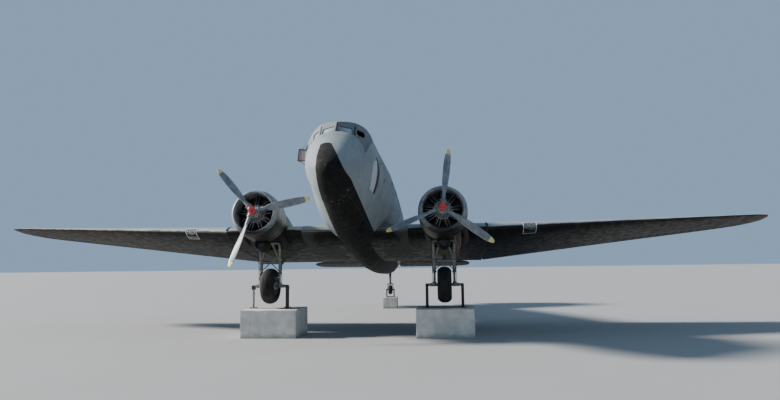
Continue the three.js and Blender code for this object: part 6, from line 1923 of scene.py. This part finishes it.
def cushion(name, low, high, crown, axis, panels, finish):
    """A stuffed pad: its faces swell by a cosine crown and dip along its sewn channels, and its sides
    draw in between the corners."""
    low, high = np.array(low, float), np.array(high, float)
    middle, half = (low + high) / 2, (high - low) / 2
    u_axis, v_axis = [k for k in range(3) if k != axis]
    u, v = np.meshgrid(np.linspace(-1, 1, 33), np.linspace(-1, 1, 33), indexing="ij")
    edge = np.clip((1 - u ** 4) * (1 - v ** 4), 0, 1) ** 0.5
    channel = 1 - 0.22 * np.abs(np.cos(math.pi * panels * (u + 1) / 2)) ** 14
    swell = (0.55 + 0.45 * np.cos(u * math.pi / 2) * np.cos(v * math.pi / 2)) * edge * channel
    faces = []
    for sign in (1, -1):
        points = np.zeros((*u.shape, 3))
        for side_axis, a, b in (u_axis, u, v), (v_axis, v, u):
            pull = 1 - 0.035 * (1 - b ** 2) * np.abs(a) ** 3
            points[..., side_axis] = middle[side_axis] + half[side_axis] * a * pull
        depth = half[axis] * (swell if sign == crown else 0.62 * edge)
        points[..., axis] = middle[axis] + sign * depth
        faces.append(points)
    pad = Piece(name)
    pad.add(surface(faces[0])).add(surface(faces[1][::-1]))
    outline = np.concatenate([faces[0][:, 0], faces[0][-1, 1:], faces[0][-2::-1, -1], faces[0][0, -2:0:-1]])
    piping = np.concatenate([outline, outline[:3]])
    pad.add(tube(middle + (piping - middle) * 0.993, 0.004, 8))
    made = pad.build("airframe", finish, "cockpit_trim", sharp=60)


def make_seats():
    """Two pilots' seats: bucket frames of tube and sheet on a rail, each with two leather cushions."""
    seats = Piece("pilot_seat_frames")
    seats.add(block((-SEAT_X, 2.065, 0.33), (SEAT_X, 2.115, 0.37)), 0)
    for word, side in SIDES.items():
        x = side * SEAT_X
        for half, near, far, radius, low, high in ((0.06, 2.05, 2.2, 0.02, 0.292, 0.3),
                                                   (0.22, 1.9, 2.33, 0.05, 0.592, 0.018)):
            plate = rounded_box((x - half, near), (x + half, far), radius)
            seats.add(prism([(a, b, low) for a, b in plate], (0, 0, high)), 0)
        back = rounded([(x - 0.21, 0.6), (x + 0.21, 0.6), (x + 0.21, 1.2), (x + 0.15, 1.33), (x - 0.15, 1.33),
                        (x - 0.21, 1.2)], 0.06)
        seats.add(prism([(a, 2.322, b) for a, b in back], (0, 0.016, 0)), 0)
        for arm in (-0.228, 0.228):
            line = [(2.31, 0.86), (2.2, 0.87), (2.04, 0.86), (1.98, 0.8), (1.98, 0.61)]
            seats.add(tube([(x + arm, y, z) for y, z in line], 0.011, 10), 1)
        rim = [(a, 2.332, b) for a, b in back]
        seats.add(tube([*rim, *rim[:2]], 0.008, 8), 1)
        for strap in (-0.09, 0.09):
            line = [(strap - 0.02, 0.75), (strap + 0.02, 0.75), (strap * 0.8 + 0.02, 1.29),
                    (strap * 0.8 - 0.02, 1.29)]
            seats.add(prism([(x + a, 2.262, z) for a, z in line], (0, 0.003, 0)), 2)
        cushion(f"seat_cushion_{word}", (x - 0.2, 1.915, 0.612), (x + 0.2, 2.26, 0.7), 1, 2, 3, SEAT_LEATHER)
        cushion(f"back_cushion_{word}", (x - 0.19, 2.268, 0.71), (x + 0.19, 2.322, 1.26), -1, 1, 3,
                SEAT_LEATHER)
    seats.build("airframe", [COCKPIT_TRIM, PISTON_STEEL, HOSE_BROWN], "cockpit_trim", "pilot_seats",
                bevel=0.002)


def make_bulkhead():
    """Frame wall between cockpit and cabin, with a flanged doorway, stiffeners and map boxes."""
    ring = fuselage_points(2.604, ring_turns(96)[:-1], -0.052)
    wall = Piece("bulkhead_wall").add(prism(ring, (0, 0.03, 0))).mesh_object()
    doorway = rounded_box((-0.33, 0.13), (0.33, 1.76), 0.09)
    carve(wall, [prism([(x, 2.59, z) for x, z in doorway], (0, 0.06, 0))])
    finish_piece(wall, "airframe", CABIN_TRIM, "cockpit_bulkhead", 35)
    trim = Piece("bulkhead_trim")
    path = np.insert(doorway, 1, 2.619, 1)
    away = np.insert(unit(doorway - [0.0, 0.945]), 1, 0, 1)
    profile = [(-0.001, -0.018), (0.03, -0.018), (0.03, 0.02), (-0.001, 0.02)]
    trim.add(sweep(path, away, AFT, profile, closed=True))
    for side in (PORT, STARBOARD):
        for x in (0.45, 0.6, 0.75):
            trim.add(block((side * x - 0.01, 2.634, 0.3), (side * x + 0.01, 2.65, 1.62)))
        for z in (0.55, 1.0, 1.45):
            low, high = sorted((side * 0.36, side * 0.86))
            trim.add(block((low, 2.634, z - 0.01), (high, 2.646, z + 0.01)))
        trim.add(block((side * 0.6 - 0.12, 2.56, 0.62), (side * 0.6 + 0.12, 2.602, 0.95)))
    trim.build("airframe", CABIN_TRIM, "airframe_paint", bevel=0.002)


def floor_turn(y, z):
    """Turn of the ring point that lies on the skin at a height below its widest line."""
    _, _, bottom, widest, _, below = columns_at(FUSELAGE_ROWS, y)
    return -math.asin(((widest - z) / (widest - bottom)) ** (below / 2))


CABIN_FRAMES = [(3.42, 1), (3.92, 1), (4.62, 1), (5.12, 1), (5.95, 1), (6.82, 1), (7.72, 1), (8.68, 1),
                (9.66, 1), (10.02, 1), (10.72, 1), (11.86, 0), (12.5, 0), (13.12, 1)]


def make_cabin():
    """Cabin floor with its rails and planks, frames and stringers round the inside, folded benches."""
    floor = Piece("cabin_floor_plates")
    floor.add(prism(skin_outline(COCKPIT_END + 0.045, CABIN_END - 0.006, 0.12, 0.055, 60), (0, 0, 0.034)))
    for x in (-0.75, -0.4, 0.0, 0.4, 0.75):
        floor.add(block((x - 0.022, 2.7, 0.154), (x + 0.022, 12.9, 0.16)))
    for y in np.arange(3.0, 13.0, 0.5):
        floor.add(block((-0.8, y - 0.012, 0.154), (0.8, y + 0.012, 0.158)))
    floor.build("airframe", FLOOR_METAL, "floor_metal", "cabin_floor", bevel=0.001)
    frames = Piece("cabin_frames")
    for y, whole in CABIN_FRAMES:
        start = floor_turn(y, 0.17)
        turns = np.linspace(start if whole else math.pi * 0.5, math.pi - start, 49)
        path = fuselage_points(y, turns, -0.031)
        inward = unit(fuselage_points(y, turns, -0.131) - path)
        profile = [(-0.018, 0.0), (0.004, 0.0), (0.004, 0.05), (0.02, 0.05), (0.02, 0.054), (-0.002, 0.054),
                   (-0.002, 0.004), (-0.018, 0.004)]
        frames.add(sweep(path, AFT, inward, profile))
    for turn in (1.1, 1.35, math.pi / 2, 1.8, 2.05):
        y = np.linspace(3.44, 13.1, 60)
        path = fuselage_points(y, turn, -0.033)
        inward = unit(fuselage_points(y, turn, -0.13) - path)
        profile = [(-0.014, 0), (0.002, 0), (0.002, 0.022), (-0.002, 0.022)]
        frames.add(sweep(path, np.cross(inward, AFT), inward, profile))
    frames.build("airframe", CABIN_TRIM, "airframe_paint", sharp=30)
    bench = Piece("folded_benches")
    for side in (PORT, STARBOARD):
        for y in np.arange(4.3, 10.2, 0.98):
            x, lean = side * float(skin_x(y + 0.4, 0.75, -0.11)), side * 0.1
            outline = rounded_box((0, 0), (0.9, 0.4), 0.05)
            points = np.stack([x + lean * outline[:, 1], y + outline[:, 0], 0.5 + outline[:, 1]], -1)
            bench.add(prism(points, (side * 0.016, 0, 0)), 0)
            bench.add(tube([(x, y - 0.01, 0.5), (x, y + 0.91, 0.5)], 0.012, 10), 1)
            for brace in (y + 0.1, y + 0.8):
                foot, head = (x - side * 0.008, brace, 0.52), (x + lean * 0.36 - side * 0.008, brace, 0.86)
                bench.add(tube([foot, head], 0.01, 8), 1)
    bench.build("airframe", [CABIN_TRIM, PISTON_STEEL], "cockpit_trim", sharp=35)


make_cockpit_floor_and_panel()
make_seats()
make_bulkhead()
make_cabin()


# Exhausts and what is fixed to the outside


def pipe(path, radius, wall, depth, sides=28):
    """A pipe along a path that is open at its far end, with its bore drawn for some points back."""
    path = np.asarray(path, float)
    first, second = path_axes(path, (0.21, 0.13, 0.97))
    last = len(path) - 1
    order = [0, *range(last + 1), *range(last, last - depth - 1, -1), last - depth]
    radii = np.array([0, *[radius] * (last + 1), *[radius - wall] * (depth + 1), 0])
    turns = ring_turns(sides)
    ring = np.cos(turns)[None, :, None] * first[order, None] + np.sin(turns)[None, :,
                                                                             None] * second[order, None]
    return surface(path[order, None] + radii[:, None, None] * ring)


EXHAUST = [(0.56, 4.13, -0.33), (0.64, 4.17, -0.42), (0.69, 4.35, -0.52), (0.69, 4.85, -0.6)]


def make_exhaust(word, side):
    """Rusty exhaust pipe with clamps, a torn lip at its open end, and two stays to the nacelle."""
    path = smooth_rows(EXHAUST, 34)
    exhaust = Piece(f"exhaust_{word}", side, ENGINE_X)
    exhaust.add(pipe(path, 0.083, 0.006, 9), 0)
    for k in (12, 22, 32):
        clamp = [(0.082, -0.012), (0.089, -0.012), (0.089, 0.012), (0.082, 0.012), (0.082, -0.012)]
        exhaust.add(lathe(clamp, path[k], path[min(k + 1, 33)] - path[k - 1], 32), 1)
    for k in (16, 27):
        exhaust.add(bar(path[k] + [0, 0, 0.07], path[k] + [-0.07, 0.02, 0.2], 0.009, 10), 1)
    exhaust.build("airframe", [EXHAUST_RUST, POST_STEEL], "rusty_steel", f"exhaust_{word}", sharp=35)


# Hoses from the cowl's foot to the head of the outboard leg, and the drain pipe beside them
HOSES = [((0.34, 3.9, -0.56), (0.37, 3.98, -0.8), (0.43, 4.06, -0.93), (0.4, 4.2, -1.1)),
         ((0.4, 3.9, -0.52), (0.45, 3.97, -0.68), (0.43, 4.06, -0.9), (0.43, 4.2, -1.02)),
         ((0.45, 3.9, -0.48), (0.5, 3.96, -0.66), (0.5, 4.05, -0.86), (0.45, 4.2, -1.0)),
         ((0.37, 3.93, -0.55), (0.42, 4.02, -0.74), (0.46, 4.1, -0.98), (0.41, 4.22, -1.2)),
         ((0.31, 3.92, -0.58), (0.34, 4.0, -0.7), (0.38, 4.1, -0.86), (0.37, 4.22, -1.04))]
DRAIN = ((0.6, 3.95, -0.4), (0.64, 3.96, -0.7), (0.64, 3.97, -1.0), (0.63, 3.98, -1.3))


def make_hoses(word, side):
    """Stiff hoses that bend out below the cowl into the nacelle, and a thin drain pipe."""
    hoses = Piece(f"engine_hoses_{word}", side, ENGINE_X)
    for path in HOSES:
        at = smooth_rows(path, 20)
        hoses.add(tube(at, 0.024, 12), 0)
        for fitting in (at[1:3], at[-3:-1]):
            hoses.add(tube(fitting, 0.029, 14), 1)
    hoses.add(tube(smooth_rows(DRAIN, 14), 0.007, 8), 1)
    hoses.build("airframe", [HOSE_BROWN, POST_STEEL], "rusty_steel", sharp=35)


SEAM_PLACES = (6.9, 8.4, 9.9, 13.3, 14.8, 16.2, 17.4)


def make_seams():
    """Butt straps round the fuselage and both wing joints, thin and riveted on both edges."""
    straps = Piece("fuselage_straps")
    turns = ring_turns(120)[:-1]
    for y in SEAM_PLACES:
        path = fuselage_points(y, turns)
        out = unit(fuselage_points(y, turns, 0.1) - path)
        profile = [(-0.03, -0.004), (-0.03, 0.001), (-0.027, 0.0025), (0.027, 0.0025), (0.03, 0.001),
                   (0.03, -0.004)]
        straps.add(sweep(path, AFT, out, profile, closed=True))
        for edge in (-0.02, 0.02):
            places, outer = (fuselage_points(y + edge, ring_turns(170)[:-1], grow) for grow in (0.002, 0.1))
            straps.add(studs(places, outer - places, 0.005, 0.0025))
    straps.build("airframe", AIRFRAME_PAINT, "airframe_paint", sharp=30)
    for word, side in SIDES.items():
        strap = Piece(f"wing_strap_{word}", side)
        shares = (1 - np.cos(np.linspace(0.1, math.pi * 0.93, 40))) / 2
        over = wing_point(WING_ROWS, WING_JOINT, shares[::-1], 1)
        under = wing_point(WING_ROWS, WING_JOINT, shares, -1)
        for group, path in enumerate([over, under]):
            out = unit(np.cross(np.gradient(path, axis=0), ASIDE))
            out *= 1 if (out[5, 2] > 0) == (group == 0) else -1
            profile = [(-0.035, -0.006), (-0.035, 0.003), (-0.03, 0.007), (0.03, 0.007), (0.035, 0.003),
                       (0.035, -0.006)]
            strap.add(sweep(path, ASIDE, out, profile), group)
            for edge in (-0.02, 0.02):
                places = path[1:-1] + [edge, 0, 0] + out[1:-1] * 0.006
                strap.add(studs(places, out[1:-1], 0.011, 0.009), group)
        strap.build("airframe", [WING_PAINT, SOOTED_METAL], "wing_paint", sharp=30)


COVERS = [(1.75, 0.3), (3.75, 0.3), (5.2, 0.22), (6.6, 0.22), (8.0, 0.22), (9.4, 0.22), (10.8, 0.22),
          (12.2, 0.22), (5.9, 0.52), (7.9, 0.52)]


def make_covers():
    """Round inspection covers under the wings, each held by small screws."""
    for word, side in SIDES.items():
        covers = Piece(f"wing_covers_{word}", side)
        for x, share in COVERS:
            a, b, c = wing_point(WING_ROWS, [x, x + 0.05, x], [share, share, share + 0.02], -1)
            down = unit(np.cross(b - a, c - a))
            down *= -math.copysign(1, down[2])
            rim = [(0, -0.01), (0.1, -0.01), (0.1, 0.002), (0.094, 0.004), (0, 0.004)]
            covers.add(lathe(rim, a, down, 36))
            first = unit(b - a)
            screws = a + circle(10, 0.085, 0.003) @ [first, down, np.cross(down, first)]
            covers.add(studs(screws, [down], 0.005, 0.003))
        covers.build("airframe", SOOTED_METAL, "wing_paint", sharp=30)


def skin_patch(z, start, end, lift, thick):
    """A plate on the port skin between two edges, each a distance aft for each height."""
    shares = np.linspace(0, 1, 8)
    y = start[:, None] * (1 - shares) + end[:, None] * shares
    outer = np.stack([skin_x(y, z[:, None]) + lift, y, z[:, None] + 0 * y], -1)
    return capped(np.concatenate([outer, outer[:, ::-1] - [thick, 0, 0]], 1))


# Ice guard ahead of the crew door: height, the plate's front edge and its rear edge, and the rear
# edge of the black strip behind it, which is painted shadow
ICE_GUARD = [(0.3, 2.08, 2.42, 2.6), (0.5, 1.97, 2.4, 2.61), (0.7, 1.87, 2.37, 2.61), (0.9, 1.83, 2.32, 2.59),
             (1.06, 1.93, 2.26, 2.55), (1.17, 2.17, 2.21, 2.46), (1.27, 2.12, 2.14, 2.3)]


def make_ice_guard():
    """Riveted pale plate that shields the skin from the propeller's ice, with a black strip of painted shadow
    behind it.
    """
    z, front, rear, strip = smooth_rows(ICE_GUARD, 40).T
    plate = Piece("ice_guard_plate")
    low = z < 1.18
    plate.add(skin_patch(z[low], front[low], rear[low], 0.004, 0.01), 0)
    # Black strip behind the plate: painted shadow.
    plate.add(skin_patch(z, rear, strip, 0.003, 0.008), 1)
    for edge in (front[low] + 0.02, rear[low] - 0.02):
        places = np.stack([skin_x(edge, z[low]) + 0.004, edge, z[low]], -1)
        plate.add(studs(places, [(1, -0.1, -0.2)], 0.005, 0.0025), 0)
    plate.build("airframe", [PLATE_PAINT, RUBBER_SEAL], "airframe_paint", sharp=35)


def make_side_frame():
    """A framed plate on two stays, on the starboard side of the cockpit."""
    plate = Piece("side_frame")
    y, low, high = 1.95, 1.14, 1.5
    near = -float(skin_x(y, 1.2))
    far = near - 0.28
    rim = np.array([(far, y, low), (near + 0.01, y, low), (near + 0.03, y, high - 0.05),
                    (far + 0.02, y, high)])
    loop = rounded(rim, 0.03)
    plate.add(tube([*loop, *loop[:3]], 0.017, 10), 0)
    inner = rim.mean(0) + (loop - rim.mean(0)) * 0.96
    plate.add(prism(inner - [0, 0.004, 0], (0, 0.008, 0)), 1)
    plate.add(bar((near + 0.06, y + 0.02, 1.72), (far + 0.1, y, high), 0.006, 8), 0)
    plate.add(bar((far + 0.01, y, low + 0.02), (near + 0.02, y + 0.1, low - 0.15), 0.008, 8), 0)
    plate.build("airframe", [POST_STEEL, PLATE_PINK], "airframe_paint", sharp=35)


def make_lamp_bezels():
    """Pale strip round each landing lamp, over the leading edge from above to well below, and a dark
    panel between the lamp's cover and the strip's lower edge."""
    def skin(x, root):
        """Wing skin by the root of the chord share, negative above, with its outward direction."""
        place, after = (wing_point(WING_ROWS, x, r**2, np.where(r < 0, 1, -1))
                        for r in (root, root + 0.002))
        return place, unit(np.cross(after - place, ASIDE))

    top, foot = -math.sqrt(0.02), math.sqrt(0.085)
    near, far = LAMP_X - LAMP_HALF + 0.004, LAMP_X + LAMP_HALF - 0.004
    x = np.concatenate([np.full(24, near), np.linspace(near, far, 10)[1:-1], np.full(24, far),
                        np.linspace(far, near, 10)[1:-1]])
    root = np.concatenate([np.linspace(top, foot, 24), np.full(8, foot), np.linspace(foot, top, 24),
                           np.full(8, top)])
    path, out = skin(x, root)
    across = unit(np.cross(out, np.roll(path, -1, 0) - np.roll(path, 1, 0)))
    strip = [(-0.013, -0.004), (-0.013, 0.004), (-0.009, 0.007), (0.009, 0.007), (0.013, 0.004),
             (0.013, -0.004)]
    wide, low = np.meshgrid(np.linspace(near + 0.015, far - 0.015, 8), np.linspace(0.19, foot - 0.004, 8),
                            indexing="ij")
    place, away = skin(wide, low)
    panel = np.concatenate([place + 0.003 * away, (place - 0.003 * away)[:, ::-1]], 1)
    for word, side in SIDES.items():
        bezel = Piece(f"landing_lamp_bezel_{word}", side)
        bezel.add(sweep(path, across, out, strip, closed=True), 0)
        bezel.add(studs(path[::2] + 0.006 * out[::2], out[::2], 0.006, 0.003), 0)
        bezel.add(capped(panel), 1)
        bezel.build("airframe", [PLATE_PAINT, LAMP_SHADE], "rim_metal", sharp=35)


def make_tip_lamps():
    """Position lamps on the wing tips, red to port and green to starboard."""
    centre, along = wing_point(WING_ROWS, 14.2, 0.1, 0), (0.35, -0.94, 0.05)
    for word, side in SIDES.items():
        lamp = Piece(f"tip_lamp_{word}", side)
        lamp.add(lathe([(0, 0.085), (0.016, 0.08), (0.03, 0.06), (0.036, 0.03), (0.036, 0.0), (0, 0.0)],
                       centre, along, 24), 0)
        lamp.add(lathe([(0, 0.004), (0.041, 0.004), (0.041, -0.02), (0.03, -0.07), (0, -0.1)], centre,
                       along, 24), 1)
        lamp.build("airframe", [LAMP_RED if side == PORT else LAMP_GREEN, WING_PAINT], "glass", sharp=35)


for word, side in SIDES.items():
    make_exhaust(word, side)
make_hoses("port", PORT)
make_seams()
make_covers()
make_ice_guard()
make_side_frame()
make_tip_lamps()
make_lamp_bezels()

# Studio

FLOOR_HALF = 260
KEY_FROM, KEY_STRENGTH, KEY_COLOUR, KEY_SPREAD = (-0.87, 0.0, 0.47), 10.5, (1.0, 0.96, 0.9), math.radians(7)
SKY_COLOUR, SKY_STRENGTH = (0.48, 0.71, 1.0, 1.0), 0.56


def make_studio():
    """Pale floor, a soft key light from ahead on the starboard side, and an even pale sky."""
    floor = Piece("studio_floor", level=False)
    corners = [[(x, y, 0) for x in (-FLOOR_HALF, FLOOR_HALF)] for y in (-FLOOR_HALF, FLOOR_HALF)]
    floor = floor.add(surface(np.array(corners, float))).mesh_object([STUDIO_FLOOR])
    key = bpy.data.objects.new("key_light", bpy.data.lights.new("key_light", "SUN"))
    key.data.energy = KEY_STRENGTH
    key.data.color = KEY_COLOUR
    key.data.angle = KEY_SPREAD
    key.rotation_euler = Vector(KEY_FROM).to_track_quat("Z", "Y").to_euler()
    bpy.context.scene.collection.objects.link(key)
    world = bpy.data.worlds.new("studio")
    bpy.context.scene.world = world
    world.use_nodes = True
    sky = world.node_tree.nodes["Background"].inputs
    sky["Color"].default_value = SKY_COLOUR
    sky["Strength"].default_value = SKY_STRENGTH


make_studio()
